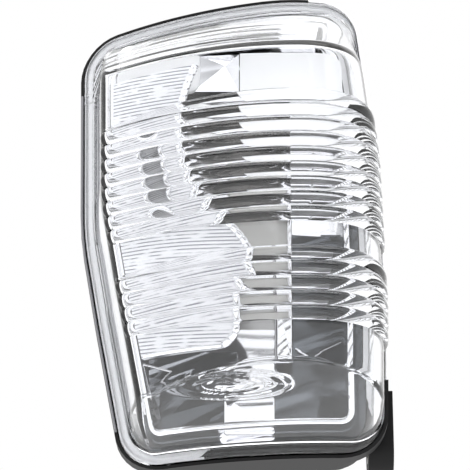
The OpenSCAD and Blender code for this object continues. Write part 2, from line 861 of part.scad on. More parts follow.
module contact_strip(way) {
    side = way * (wedge_t / 2 + contact_t / 2);
    middle = bulb_x + way * 3.4;
    block(
        [middle - contact_w / 2, wedge_y + 3.6, bulb_z + side - contact_t / 2],
        [middle + contact_w / 2, mouth_floor_y + 9, bulb_z + side + contact_t / 2]
    );
}
module contact_left() {
    color([0.78, 0.62, 0.3]) from_back()
        contact_strip(-1);
}
module contact_right() {
    color([0.78, 0.62, 0.3]) from_back()
        contact_strip(1);
}
module terminal_plate() {
    gap = 0.1;
    color([0.75, 0.75, 0.72]) from_back()
        difference() {
            block(
                [bulb_x - mouth_w / 2 + gap, mouth_floor_y, bulb_z - mouth_h / 2 + gap],
                [bulb_x + mouth_w / 2 - gap, mouth_floor_y + 1.6, bulb_z + mouth_h / 2 - gap]
            );
            for (way = [-1, 1])
                contact_strip(way);
        }
}
module holder_seal() {
    color([0.14, 0.14, 0.14]) from_back()
        along_y(bulb_x, bulb_z)
            rotate_extrude($fn = 96)
                translate([holder_bore / 2 + 0.2 + seal_t / 2, boss_y + seal_t / 2])
                    circle(d = seal_t, $fn = 24);
}

module vent_cap() {
    color([0.1, 0.1, 0.1]) from_back()
        difference() {
            bar(vent_x, vent_z, vent_r + cap_t, back_y + collar_h, back_y + vent_h + 3);
            bar(vent_x, vent_z, vent_r + 0.05, back_y, back_y + vent_h);
            bar(vent_x, vent_z, 1, back_y + vent_h - 0.5, back_y + vent_h + 4);
        }
}
module vent_membrane() {
    color([0.9, 0.9, 0.88]) from_back()
        bar(vent_x, vent_z, membrane_r, plate_y - membrane_t, plate_y);
}
module ear_bush() {
    color([0.75, 0.75, 0.75]) from_back()
        translate([ear_x, ear_y, ear_z])
            rotate([0, 90, 0])
                difference() {
                    cylinder(h = ear_t, r = ear_bore / 2);
                    translate([0, 0, -1])
                        cylinder(h = ear_t + 2, r = ear_bore / 2 - bush_t);
                }
}
module retaining_clip() {
    top = tongue_z + tongue_t;
    low = tongue_z - clip_t;
    color([0.7, 0.7, 0.72]) from_back()
        union() {
            block([-clip_w / 2, tongue_y - clip_l, top], [clip_w / 2, tongue_y + clip_t, top + clip_t]);
            block([-clip_w / 2, tongue_y - clip_l, low], [clip_w / 2, tongue_y + clip_t, tongue_z]);
            block([-clip_w / 2, tongue_y, low], [clip_w / 2, tongue_y + clip_t, top + clip_t]);
        }
}

lens();
housing();
rim_gasket();
reflector();
curtain();
reflector_screws();
bulb();
bulb_holder();
holder_seal();
contact_left();
contact_right();
terminal_plate();
vent_cap();
vent_membrane();
ear_bush();
retaining_clip();
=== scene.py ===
# %% [markdown]
# # Mirror turn signal lamp
# A clear, ribbed lens wraps round a chrome reflector, a satin curtain and a
# mirror-coated bulb, all on a black housing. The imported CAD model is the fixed
# frame: this script adds finer pieces in the same places, their finishes, and a
# small white studio. Sizes are in millimetres until a mesh is made.

import math

import bmesh
import bpy
import numpy as np
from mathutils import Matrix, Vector


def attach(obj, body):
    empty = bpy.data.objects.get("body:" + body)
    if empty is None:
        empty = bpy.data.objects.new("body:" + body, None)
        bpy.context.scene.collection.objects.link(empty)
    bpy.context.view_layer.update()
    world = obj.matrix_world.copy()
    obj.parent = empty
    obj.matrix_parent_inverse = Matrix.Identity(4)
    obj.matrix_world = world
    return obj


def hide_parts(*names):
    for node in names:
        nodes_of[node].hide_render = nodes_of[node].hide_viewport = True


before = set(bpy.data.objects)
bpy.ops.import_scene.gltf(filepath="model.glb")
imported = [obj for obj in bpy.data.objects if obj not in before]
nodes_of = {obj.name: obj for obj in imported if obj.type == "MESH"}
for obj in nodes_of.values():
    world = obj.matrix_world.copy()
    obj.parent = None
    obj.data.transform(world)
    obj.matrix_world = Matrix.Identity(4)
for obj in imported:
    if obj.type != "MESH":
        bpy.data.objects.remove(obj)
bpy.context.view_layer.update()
MM = 0.001
BACK_Y = 62.0

# %% [markdown]
# ## Outline
# The lamp's outline is a rounded polygon, the same one that the CAD source
# uses. Each corner is (x, z, radius). Depth counts back from the foremost line
# of the lens, and `to_frame` moves it to the frame, whose Y = 0 is the flat back.

# %% Outline of the lamp
EDGE_LEFT = 44.0
EDGE_RIGHT = 40.6
EDGE_TOP = 73.0
EDGE_BOTTOM = 61.6
CORNER_TOP_R = 11.5
CORNER_LOW_R = 13.0
OUTLINE = [
    (14.5 - EDGE_LEFT, -EDGE_BOTTOM, CORNER_LOW_R),
    (EDGE_RIGHT - 0.8, 2.4 - EDGE_BOTTOM, CORNER_LOW_R),
    (EDGE_RIGHT, -20.0, 90.0),
    (EDGE_RIGHT - 1.2, 22.0, 90.0),
    (EDGE_RIGHT - 7.2, EDGE_TOP - 0.8, CORNER_TOP_R),
    (15.0, EDGE_TOP, 100.0),
    (-EDGE_LEFT, EDGE_TOP - 6.0, CORNER_TOP_R),
    (1.4 - EDGE_LEFT, 8.0, 90.0),
    (6.2 - EDGE_LEFT, -19.0, 90.0),
]
SWEEP_R = 96.0
SWEEP_MID_X = 14.0
EDGE_DEPTH = 26.0


def edge_y(x):
    """Depth of the sealing edge, which sweeps back to both sides."""
    return EDGE_DEPTH + SWEEP_R - np.sqrt(SWEEP_R**2 - (x - SWEEP_MID_X) ** 2)


def corner_arc(corners, i, steps):
    """Points of one rounded corner of a counter-clockwise polygon."""
    n = len(corners)
    p = np.array(corners[i][:2])
    a = np.array(corners[i - 1][:2]) - p
    b = np.array(corners[(i + 1) % n][:2]) - p
    a /= np.linalg.norm(a)
    b /= np.linalg.norm(b)
    half = math.acos(float(a @ b)) / 2
    r = corners[i][2]
    middle = (a + b) / np.linalg.norm(a + b)
    centre = p + middle * r / math.sin(half)
    start = p + a * r / math.tan(half) - centre
    first = math.atan2(start[1], start[0])
    turn = math.pi - 2 * half
    angles = first + turn * np.linspace(0, 1, steps + 1)
    return centre + r * np.stack([np.cos(angles), np.sin(angles)], axis=1)


def inset(corners, d):
    """The polygon moved inwards by d, with its radii kept concentric."""
    moved = []
    n = len(corners)
    for i, (x, z, r) in enumerate(corners):
        p = np.array([x, z])
        a = np.array(corners[i - 1][:2]) - p
        b = np.array(corners[(i + 1) % n][:2]) - p
        a /= np.linalg.norm(a)
        b /= np.linalg.norm(b)
        half = math.acos(float(a @ b)) / 2
        middle = (a + b) / np.linalg.norm(a + b)
        q = p + middle * d / math.sin(half)
        moved.append((q[0], q[1], max(r - d, 1.0)))
    return moved


def loop(d, steps=12):
    """Closed outline at inset d, counter-clockwise seen from the front."""
    corners = inset(OUTLINE, d)
    return np.concatenate([corner_arc(corners, i, steps) for i in range(len(corners))])


LENS_IN = 1.15
FLANGE_W = 2.2
HALF = 12


def part(line, i, first, last):
    """A stretch of one finely divided corner of an inset outline."""
    return corner_arc(line, i, 2 * HALF)[first:last + 1]


def left_part(line):
    """The left side from the middle of the upper corner to that of the lower."""
    return np.concatenate([
        part(line, 6, HALF, 2 * HALF), part(line, 7, 0, 2 * HALF),
        part(line, 8, 0, 2 * HALF), part(line, 0, 0, HALF)])


def right_part(line):
    return np.concatenate([
        part(line, 1, HALF, 2 * HALF), part(line, 2, 0, 2 * HALF),
        part(line, 3, 0, 2 * HALF), part(line, 4, 0, HALF)])


RIGHT_OUT = 1.9
lens_line = inset(OUTLINE, LENS_IN)
foot_outline = [(x + RIGHT_OUT, z, r) if x > 15 else (x, z, r) for x, z, r in OUTLINE]
foot_line = inset(foot_outline, LENS_IN + FLANGE_W)
left_edge = left_part(lens_line)
left_foot = left_part(foot_line)
right_foot = right_part(foot_line)
top_foot = np.concatenate([
    part(foot_line, 4, HALF, 2 * HALF), part(foot_line, 5, 0, 2 * HALF),
    part(foot_line, 6, 0, HALF)])
low_foot = np.concatenate([part(foot_line, 0, HALF, 2 * HALF), part(foot_line, 1, 0, HALF)])


def left_x(z):
    return np.interp(z, left_edge[::-1, 1], left_edge[::-1, 0])


def foot_x(z, way):
    """Where the lens wall meets the sealing edge, left for way 1, right for -1."""
    if way > 0:
        return np.interp(z, left_foot[::-1, 1], left_foot[::-1, 0])
    return np.interp(z, right_foot[:, 1], right_foot[:, 0])


def top_z(x):
    return np.interp(x, top_foot[::-1, 0], top_foot[::-1, 1])


def low_z(x):
    return np.interp(x, low_foot[:, 0], low_foot[:, 1])


def to_frame(points):
    """Millimetres with depth from the lens's front, to metres in the frame."""
    moved = np.array(points, float)
    moved[..., 1] -= BACK_Y
    return moved * MM


print("outline", len(loop(0)), "points; edge depth left", round(float(edge_y(-EDGE_LEFT)), 1))

# %% [markdown]
# ## Lens surface
# One horizontal section runs from the left foot up the side wall, round a soft
# corner, along the swept face and round the right corner. Ribs stand out of it
# as half-round beads whose ends are rounded like a capsule. Above and below the
# belt a Coons blend takes the crease to the rounded sealing edge.

# %% Lens sections
FACE_MID_X = 16.0
FACE_LEFT_DEPTH = 20.5
FACE_LEFT_W = 52.8
CORNER_IN = 7.2
CORNER_POWER = 2.6
RIGHT_SWELL = 0.8
CREASE_TOP = 46.7
CREASE_LOW = -42.0
CREASE_SAG = 6.0
DOME = 1.5
LENS_WALL = 2.0
FLANGE_T = 2.4
RIB_PITCH_TOP = 4.2
RIB_PITCH_LOW = 4.0
RIB_PROUD = 1.2
RIBS_LOW = 5
RIBS_TOP = 9
RIB_LOW_Z = -31.4
RIB_TOP_Z = -4.8
RIB_STEPS = 10
LEFT_COLS = 4.0
FACE_COLS = 8.0
RIGHT_COLS = 9.0


def corner_x(z):
    """Where the lens turns from its left wall to its face."""
    return left_x(z) - LENS_IN + CORNER_IN


def face_y(x):
    return FACE_LEFT_DEPTH * ((FACE_MID_X - x) / FACE_LEFT_W) ** 2


def section(u, z):
    """Points of one section at height z for the station numbers u."""
    cx = float(corner_x(z))
    rx = float(foot_x(z, -1))
    lx = float(foot_x(z, 1))
    foot = np.array([lx, float(edge_y(lx))])
    corner = np.array([cx, face_y(cx)])
    start_x = cx + 1.6
    start = np.array([start_x, face_y(start_x)])
    wall = corner + (foot - corner) / np.linalg.norm(foot - corner) * 1.6
    points = np.zeros((len(u), 2))
    rise = u <= 2
    t = (u[rise] / 2)[:, None]
    points[rise] = foot * (1 - t) + wall * t
    turn = (u > 2) & (u <= LEFT_COLS)
    t = ((u[turn] - 2) / 2)[:, None]
    points[turn] = (1 - t) ** 2 * wall + 2 * t * (1 - t) * corner + t * t * start
    face = (u > LEFT_COLS) & (u <= LEFT_COLS + FACE_COLS)
    x = start_x + (FACE_MID_X - start_x) * (u[face] - LEFT_COLS) / FACE_COLS
    points[face] = np.stack([x, face_y(x)], axis=1)
    side = u > LEFT_COLS + FACE_COLS
    b = (math.pi / 2) * (u[side] - LEFT_COLS - FACE_COLS) / RIGHT_COLS
    k = 2 / CORNER_POWER
    depth = float(edge_y(rx))
    points[side] = np.stack([
        FACE_MID_X + (rx - FACE_MID_X) * np.sin(b) ** k
        + RIGHT_SWELL * np.sin(2 * b) ** 2 * np.sin(b),
        depth * (1 - np.maximum(0, np.cos(b)) ** k)], axis=1)
    fall = DOME * ((z - 2) / 45) ** 2
    points[:, 1] += fall * np.maximum(0, 1 - points[:, 1] / 26)
    return points


RIB_END = 0.6
LEFT_FADE = 2.2


def rib_height(t, pitch, from_left, from_right):
    """Height of a rib, t across it, cut off square at the left and round at the right."""
    half = pitch / 2
    r = (half**2 + RIB_PROUD**2) / (2 * RIB_PROUD)
    across = half * (2 * t - 1)
    ends = np.maximum(0, half - from_right)
    away = np.minimum(half, np.hypot(across, ends))
    height = np.sqrt(r**2 - away**2) - (r - RIB_PROUD)
    return height * np.clip(from_left / RIB_END, 0, 1) ** 0.5


def rib_rows(start, count, pitch):
    """Rows of a group: height, place across a rib, pitch and share of the left's drop."""
    angles = np.linspace(0, math.pi, RIB_STEPS + 1)[1:]
    shares = (1 - np.cos(angles)) / 2
    rows = []
    for r in range(count):
        for t in shares:
            pull = t if r == count - 1 else 0.0
            rows.append((start + (r + t) * pitch, t, pitch, pull, r == count - 1))
    return rows


def plain_rows(low, high, count, first):
    """Smooth rows above a group, which take up the drop of its last rib."""
    shares = np.linspace(0, 1, count + 1)[first:]
    return [(low + (high - low) * v, None, 0.0, 1 - v, False) for v in shares]


def belt_rows():
    low_end = RIB_LOW_Z + RIBS_LOW * RIB_PITCH_LOW
    top_end = RIB_TOP_Z + RIBS_TOP * RIB_PITCH_TOP
    start = [(z, None, 0.0, 0.0, False) for z in np.linspace(CREASE_LOW, RIB_LOW_Z, 9)]
    return (start + rib_rows(RIB_LOW_Z, RIBS_LOW, RIB_PITCH_LOW)
            + plain_rows(low_end, RIB_TOP_Z, 7, 1)
            + rib_rows(RIB_TOP_Z, RIBS_TOP, RIB_PITCH_TOP)
            + plain_rows(top_end, CREASE_TOP, 12, 1))


STATIONS = np.concatenate([
    np.linspace(0, 2, 9)[:-1], np.linspace(2, LEFT_COLS, 17)[:-1],
    np.linspace(LEFT_COLS, LEFT_COLS + FACE_COLS, 55)[:-1],
    np.linspace(LEFT_COLS + FACE_COLS, LEFT_COLS + FACE_COLS + RIGHT_COLS, 61)])
RIB_START = 3.0
RIB_STOP = 2.0


def belt_row(row, proud):
    """One row of the belt in three dimensions, ribbed if proud is 1."""
    z, t, pitch, pull, last = row
    flat = section(STATIONS, z)
    drop = RIB_PITCH_TOP * np.clip((FACE_MID_X - flat[:, 0]) / FACE_LEFT_W, 0, 1) ** LEFT_FADE
    if t is not None and proud:
        along = np.gradient(flat, axis=0)
        along /= np.linalg.norm(along, axis=1)[:, None]
        out = np.stack([along[:, 1], -along[:, 0]], axis=1)
        steps = np.linalg.norm(np.diff(flat, axis=0), axis=1)
        run = np.concatenate([[0], np.cumsum(steps)])
        from_left = run - np.interp(RIB_START, STATIONS, run)
        from_right = run[-1] - RIB_STOP - run
        height = rib_height(t, pitch, from_left, from_right)
        height = height * (from_left > 0) * (from_right > 0)
        if last:
            height = height * (1 - 0.9 * drop / RIB_PITCH_TOP)
        flat = flat + out * height[:, None]
    share = max(0.0, min(1.0, (RIB_LOW_Z - z) / (RIB_LOW_Z - CREASE_LOW))) ** 1.3
    lower = share * CREASE_SAG * np.minimum(1, ((flat[:, 0] - 12) / 34) ** 2) + pull * drop * 0.9
    left = flat[:, 0] < FACE_MID_X
    foot = np.where(left, foot_x(z, 1), foot_x(z, -1))
    new_foot = np.where(left, foot_x(z - lower, 1), foot_x(z - lower, -1))
    shift = (new_foot - foot) * (flat[:, 0] - FACE_MID_X) / (foot - FACE_MID_X)
    fall = (edge_y(new_foot) - edge_y(foot)) * np.minimum(1, flat[:, 1] / edge_y(foot))
    return np.stack([flat[:, 0] + shift, flat[:, 1] + fall, z - lower], axis=1)


# %% [markdown]
# The blend below keeps the crease row and the sealing edge as its two long
# sides, so it meets the belt without a gap, and it bulges slightly outwards.

# %% Blends to the sealing edge
BULGE = 1.6
BLEND_ROWS = 46


def column_share(row):
    n = len(row) - 1
    even = np.arange(n + 1) / n
    wide = (row[:, 0] - row[0, 0]) / (row[-1, 0] - row[0, 0])
    return 0.5 * even + 0.5 * wide


def rim_row(crease, side, rule):
    a = side[:, 0].min()
    b = side[:, 0].max()
    x = a + (b - a) * column_share(crease)
    return np.stack([x, edge_y(x), rule(x)], axis=1)


def side_spot(crease_end, rim_end, v, way):
    """A point of the foot line beside the blend, between crease and rim."""
    z = crease_end[2] + (rim_end[2] - crease_end[2]) * v
    x = float(foot_x(z, way))
    return np.array([x, float(edge_y(x)), z])


def blend_row(crease, rim, v):
    if v == 0:
        return crease
    if v == 1:
        return rim
    left = side_spot(crease[0], rim[0], v, 1)
    right = side_spot(crease[-1], rim[-1], v, -1)
    u = column_share(crease)[:, None]
    flat = (1 - v) * crease + v * rim
    ends = (1 - u) * left + u * right
    twice = (1 - u) * ((1 - v) * crease[0] + v * rim[0])
    twice = twice + u * ((1 - v) * crease[-1] + v * rim[-1])
    bulge = BULGE * math.sin(math.pi * v) * np.sin(math.pi * u[:, 0])
    row = flat + ends - twice
    row[:, 1] -= bulge
    return row


def lens_grid(proud):
    belt = [belt_row(row, proud) for row in belt_rows()]
    low = rim_row(belt[0], low_foot, low_z)
    top = rim_row(belt[-1], top_foot, top_z)
    shares = np.linspace(0, 1, BLEND_ROWS + 1)[1:]
    below = [blend_row(belt[0], low, v) for v in shares[::-1]]
    above = [blend_row(belt[-1], top, v) for v in shares]
    return np.array(below + belt + above)


RING_X = -1.5
RING_Z = -46.2
RING_W = 14.2
RING_H = 2.3


def oval_rings(grid):
    """Fine oval beads below the lower crease, and three fine steps above the upper one."""
    x = (grid[:, :, 0] - RING_X) / RING_W
    z = (grid[:, :, 2] - RING_Z) / RING_H
    r = np.hypot(x, z)
    height = np.zeros_like(r)
    for place, width, rise in ((1.0, 0.1, 0.3), (0.66, 0.09, 0.2), (0.34, 0.08, 0.16)):
        height += rise * np.exp(-((r - place) / width) ** 2)
    crease = grid.shape[0] - 1 - BLEND_ROWS
    rows = np.arange(grid.shape[0])[:, None] - crease
    fade = np.clip((24 - grid[:, :, 0]) / 30, 0, 1)
    for place, rise in ((8, 0.16), (15, 0.12), (24, 0.1)):
        height += rise * np.exp(-((rows - place) / 1.1) ** 2) * fade
    return grid + row_normals(grid) * height[:, :, None]


def row_normals(grid):
    du = np.gradient(grid, axis=1)
    dv = np.gradient(grid, axis=0)
    n = np.cross(du, dv)
    return n / np.linalg.norm(n, axis=2)[:, :, None]


SOFT_ROWS = 5


def soften(grid):
    """Rounds the two creases by averaging the rows beside them."""
    for row, times in ((BLEND_ROWS, 1), (grid.shape[0] - 1 - BLEND_ROWS, 6)):
        for _ in range(times):
            span = slice(row - SOFT_ROWS, row + SOFT_ROWS + 1)
            above = grid[row - SOFT_ROWS + 1:row + SOFT_ROWS + 2]
            below = grid[row - SOFT_ROWS - 1:row + SOFT_ROWS]
            grid[span] = 0.5 * grid[span] + 0.25 * (above + below)
    return grid


smooth = soften(lens_grid(0))
outer = oval_rings(soften(lens_grid(1)))
print("lens grid", outer.shape[:2])

# %% [markdown]
# ## Building meshes
# A grid is made with bmesh, then its vertices take the surface's places. The
# rim of the lens is extruded outwards for the sealing edge, and a second grid,
# one wall further in, is bridged to it so that the lens is a closed solid.

# %% Mesh helpers
def grid_vertices(bm, points):
    """A bmesh grid whose vertex in row j and column i lies at points[j, i]."""
    rows, cols = points.shape[0] - 1, points.shape[1] - 1
    made = bmesh.ops.create_grid(bm, x_segments=cols, y_segments=rows, size=1.0)
    placed = {}
    for v in made["verts"]:
        i = round((v.co.x + 1) / 2 * cols)
        j = round((v.co.y + 1) / 2 * rows)
        v.co = points[j, i]
        placed[j, i] = v
    return placed


def rim_walk(rows, cols):
    """Row and column of each rim vertex, once round counter-clockwise."""
    walk = [(0, i) for i in range(cols)]
    walk += [(j, cols) for j in range(rows)]
    walk += [(rows, cols - i) for i in range(cols)]
    walk += [(rows - j, 0) for j in range(rows)]
    return walk


def finish_mesh(bm, name, sharp=None):
    """Turns a bmesh into a smooth-shaded object at the origin."""
    bmesh.ops.recalc_face_normals(bm, faces=bm.faces)
    mesh = bpy.data.meshes.new(name)
    bm.to_mesh(mesh)
    bm.free()
    obj = bpy.data.objects.new(name, mesh)
    bpy.context.scene.collection.objects.link(obj)
    mesh.shade_smooth()
    if sharp is not None:
        mesh.set_sharp_from_angle(angle=math.radians(sharp))
    print(name, len(mesh.vertices), "vertices", len(mesh.polygons), "faces")
    return obj


def ring_out(foot, d, dy):
    """The rim line moved outwards by d in the outline's plane."""
    ahead = np.roll(foot, -1, axis=0) - np.roll(foot, 1, axis=0)
    out = np.stack([ahead[:, 2], -ahead[:, 0]], axis=1)
    out /= np.linalg.norm(out, axis=1)[:, None]
    reach = np.full(len(foot), d)
    if d > 0:
        reach = d * (1 - np.maximum(0, out[:, 0]) * RIGHT_OUT / FLANGE_W)
    x = foot[:, 0] + out[:, 0] * reach
    return np.stack([x, edge_y(x) + dy, foot[:, 2] + out[:, 1] * reach], axis=1)


# %% Lens mesh
def build_lens():
    bm = bmesh.new()
    rows, cols = outer.shape[0] - 1, outer.shape[1] - 1
    walk = rim_walk(rows, cols)
    foot = np.array([outer[j, i] for j, i in walk])
    inner = smooth - row_normals(smooth) * LENS_WALL
    back = ring_out(foot, -LENS_WALL, FLANGE_T)
    for k, (j, i) in enumerate(walk):
        inner[j, i] = back[k]
    front = grid_vertices(bm, to_frame(outer))
    rear = grid_vertices(bm, to_frame(inner))
    last = [front[w] for w in walk]
    rings = [
        ring_out(foot, FLANGE_W - 0.9, 0.0),
        ring_out(foot, FLANGE_W - 0.5, -0.25),
        ring_out(foot, FLANGE_W - 0.1, 0.1),
        ring_out(foot, FLANGE_W, 0.6),
        ring_out(foot, FLANGE_W, FLANGE_T),
    ]
    for ring in rings:
        places = to_frame(ring)
        edges = [bm.edges.get((a, b)) for a, b in zip(last, last[1:] + last[:1])]
        made = bmesh.ops.extrude_edge_only(bm, edges=edges)["geom"]
        fresh = {v for v in made if isinstance(v, bmesh.types.BMVert)}
        follow = []
        for v in last:
            mate = next(e.other_vert(v) for e in v.link_edges if e.other_vert(v) in fresh)
            follow.append(mate)
        for v, place in zip(follow, places):
            v.co = place
        last = follow
    inside = [rear[w] for w in walk]
    loops = [bm.edges.get((a, b)) for line in (last, inside)
             for a, b in zip(line, line[1:] + line[:1])]
    bmesh.ops.bridge_loops(bm, edges=loops)
    return finish_mesh(bm, "clear_lens", sharp=50)


lens = build_lens()
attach(lens, "lamp")
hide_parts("lens")

# %% [markdown]
# ## Reflector
# The reflector is one metallised sheet: an outer flange, a raised rim and a flat
# floor with one tilted, softly waved panel at the lower right. Its columns are
# laid along the panel's upright edges, so those stay crisp.

# %% Reflector sheet
LEDGE_DY = 2.7
FLANGE_IN = 5.7
REFLECTOR_IN = 9.05
REFLECTOR_T = 1.8
RIM_RISE = -1.4
FLOOR_Y = 52.5
BULB_X = 1.0
BULB_Z = 31.0
BULB_R = 8.5
BOWL_R = 22.0
BOWL_MOUTH_Y = 33.0
NECK_R = BULB_R + 2.6
FACET_X = 15.5
PANEL_RIGHT = 31.4
PANEL_HIGH = 11.5
PANEL_LOW = -42.0
PANEL_Y = 41.5
PANEL_TILT = 9.5
PANEL_YAW = 0.13
PANEL_WAVE = 0.62
PANEL_PITCH = 14.0
PLATE_TOP = 11.0
PLATE_LOW = -11.0
PLATE_LEFT = -1.0
PLATE_Y = 44.0


def reflector_depth(x, z):
    """Depth of the sheet's front at x and z."""
    tilt = PANEL_Y + (z - PANEL_LOW) * math.tan(math.radians(PANEL_TILT))
    tilt = tilt + PANEL_YAW * (x - FACET_X)
    tilt = tilt + PANEL_WAVE * np.sin(2 * math.pi * (0.94 * z - 0.34 * x) / PANEL_PITCH)
    in_panel = (x >= FACET_X) & (x <= PANEL_RIGHT) & (z < PANEL_HIGH) & (z > PANEL_LOW)
    return np.where(in_panel, tilt, FLOOR_Y)


def reflector_rings():
    """Inset and depth beyond the edge for the rings from the flange inwards."""
    return [
        (FLANGE_IN, LEDGE_DY + 1.2), (FLANGE_IN, LEDGE_DY + 0.5),
        (FLANGE_IN + 0.2, LEDGE_DY + 0.3), (FLANGE_IN + 1.6, LEDGE_DY + 0.7),
        (REFLECTOR_IN - 0.5, LEDGE_DY + 1.2), (REFLECTOR_IN - 0.1, LEDGE_DY + 1.0),
        (REFLECTOR_IN, LEDGE_DY + 0.4),
        (REFLECTOR_IN, RIM_RISE + 0.5), (REFLECTOR_IN + 0.2, RIM_RISE + 0.15),
        (REFLECTOR_IN + 0.6, RIM_RISE), (REFLECTOR_IN + REFLECTOR_T - 0.4, RIM_RISE),
        (REFLECTOR_IN + REFLECTOR_T - 0.1, RIM_RISE + 0.2),
        (REFLECTOR_IN + REFLECTOR_T, RIM_RISE + 0.6),
    ]


def even_loop(d, count):
    """The outline at inset d as evenly spaced points, starting at the lower left."""
    line = loop(d, 24)
    line = np.concatenate([line, line[:1]])
    run = np.concatenate([[0], np.cumsum(np.hypot(*np.diff(line, axis=0).T))])
    at = np.linspace(0, run[-1], count + 1)[:-1]
    return np.stack([np.interp(at, run, line[:, 0]), np.interp(at, run, line[:, 1])], axis=1)


def row_span(z, line):
    """Left and right ends of a closed line at height z."""
    nxt = np.roll(line, -1, axis=0)
    cross = (line[:, 1] - z) * (nxt[:, 1] - z) <= 0
    rise = nxt[cross, 1] - line[cross, 1]
    rise = np.where(np.abs(rise) < 1e-9, 1e-9, rise)
    t = np.clip((z - line[cross, 1]) / rise, 0, 1)
    xs = line[cross, 0] + t * (nxt[cross, 0] - line[cross, 0])
    return xs.min(), xs.max()


def column_stops(z, line):
    """Places of the columns' stops: a wall is two columns close together."""
    low, high = row_span(z, line)
    gap = 0.12
    stops = [low, FACET_X - gap, FACET_X, PANEL_RIGHT, PANEL_RIGHT + gap, high]
    return np.maximum.accumulate(np.clip(stops, low, high))


def ring_strip(bm, rings, count):
    """Closed rings of points joined by faces, each ring to the next."""
    last = None
    for ring in rings:
        verts = [bm.verts.new(point) for point in to_frame(ring)]
        if last:
            for k in range(count):
                m = (k + 1) % count
                bm.faces.new((last[k], last[m], verts[m], verts[k]))
        last = verts


def painted_reflection_zone(x, y, z):
    """Where a dark reflection is painted into the sheet's colour: the panel and the rim beside and
    below.
    """
    in_panel = y > 36 and FACET_X - 0.2 < x < PANEL_RIGHT + 0.2
    in_panel = in_panel and PANEL_LOW - 0.2 < z < PANEL_HIGH + 0.2
    crest = y < edge_y(x) + RIM_RISE + 0.3
    beside = x > 24 and z < 12
    below = z < -44 and not -4 < x < 10
    return in_panel or ((beside or below) and not crest)


def build_reflector():
    inner_in = REFLECTOR_IN + REFLECTOR_T + 0.05
    line = loop(inner_in, 24)
    low, high = line[:, 1].min() + 0.02, line[:, 1].max() - 0.02
    breaks = [low, PANEL_LOW, PANEL_HIGH, high]
    zs = []
    for a, b in zip(breaks[:-1], breaks[1:]):
        count = max(2, int((b - a) / 0.55))
        zs += list(np.linspace(a + 0.05, b - 0.05, count))
    zs = np.array(zs)
    counts = [60, 1, 34, 1, 12]
    shares = np.concatenate([[0], np.cumsum(counts)]) / sum(counts)
    u = np.linspace(0, 1, sum(counts) + 1)
    grid = np.zeros((len(zs), len(u), 3))
    for j, z in enumerate(zs):
        grid[j, :, 0] = np.interp(u, shares, column_stops(z, line))
        grid[j, :, 2] = z
    grid[:, :, 1] = reflector_depth(grid[:, :, 0], grid[:, :, 2])
    bm = bmesh.new()
    grid_vertices(bm, to_frame(grid))
    hole = []
    for f in bm.faces:
        c = f.calc_center_median() / MM
        if math.hypot(c.x - BULB_X, c.z - BULB_Z) < BULB_R + 2:
            hole.append(f)
    bmesh.ops.delete(bm, geom=hole, context="FACES")
    count = 420
    rings = []
    for d, dy in reflector_rings():
        flat = even_loop(d, count)
        rings.append(np.stack([flat[:, 0], edge_y(flat[:, 0]) + dy, flat[:, 1]], axis=1))
    flat = even_loop(inner_in, count)
    rings.append(np.stack([flat[:, 0], np.full(count, FLOOR_Y), flat[:, 1]], axis=1))
    ring_strip(bm, rings, count)
    for f in bm.faces:
        c = f.calc_center_median() / MM
        # Faces in that zone take a darker copy of the chrome, as painted dark reflection.
        f.material_index = 1 if painted_reflection_zone(c.x, c.y + BACK_Y, c.z) else 0
    return finish_mesh(bm, "reflector_sheet", sharp=35)


reflector = build_reflector()
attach(reflector, "lamp")
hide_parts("reflector")

# %% [markdown]
# The bowl round the bulb is a spun cup, cut off straight where the plate and the
# right panel begin. The flat pieces beside it are plates with rolled edges.

# %% Bowl and plates
def build_bowl():
    """A cup spun about the bulb's axis, then cut by two planes."""
    steps = 26
    radii = NECK_R + (BOWL_R - NECK_R) * np.linspace(0, 1, steps + 1)
    rise = ((radii - NECK_R) / (BOWL_R - NECK_R)) ** 1.6
    depth = FLOOR_Y - (FLOOR_Y - BOWL_MOUTH_Y) * rise
    lip = [(BOWL_R + 0.3, BOWL_MOUTH_Y - 0.45), (BOWL_R + 0.9, BOWL_MOUTH_Y - 0.65),
           (BOWL_R + 1.5, BOWL_MOUTH_Y - 0.45)]
    inside = list(zip(radii, depth))
    outside = list(zip(radii + REFLECTOR_T, depth))[::-1]
    outline = inside + lip + outside
    bm = bmesh.new()
    verts = []
    for r, y in outline:
        verts.append(bm.verts.new(to_frame([BULB_X + r, y, BULB_Z])))
    edges = [bm.edges.new((a, b)) for a, b in zip(verts, verts[1:] + verts[:1])]
    centre = to_frame([BULB_X, 0, BULB_Z])
    bmesh.ops.spin(bm, geom=verts + edges, cent=centre, axis=(0, 1, 0),
                   angle=2 * math.pi, steps=120, use_merge=True)
    for point, normal in (((FACET_X, 0, 0), (1, 0, 0)), ((0, 0, PLATE_TOP), (0, 0, -1))):
        geom = bm.verts[:] + bm.edges[:] + bm.faces[:]
        cut = bmesh.ops.bisect_plane(bm, geom=geom, dist=1e-6, plane_co=to_frame(point),
                                     plane_no=normal, clear_outer=True)["geom_cut"]
        rim = [e for e in cut if isinstance(e, bmesh.types.BMEdge)]
        bmesh.ops.holes_fill(bm, edges=rim, sides=0)
    return finish_mesh(bm, "reflector_bowl", sharp=35)


def rounded_box(x0, x1, z0, z1, r, steps=6):
    """Counter-clockwise outline of a rectangle with round corners."""
    points = []
    for cx, cz, first in ((x1 - r, z1 - r, 0), (x0 + r, z1 - r, 90),
                          (x0 + r, z0 + r, 180), (x1 - r, z0 + r, 270)):
        for k in range(steps + 1):
            a = math.radians(first + 90 * k / steps)
            points.append((cx + r * math.cos(a), cz + r * math.sin(a)))
    return points


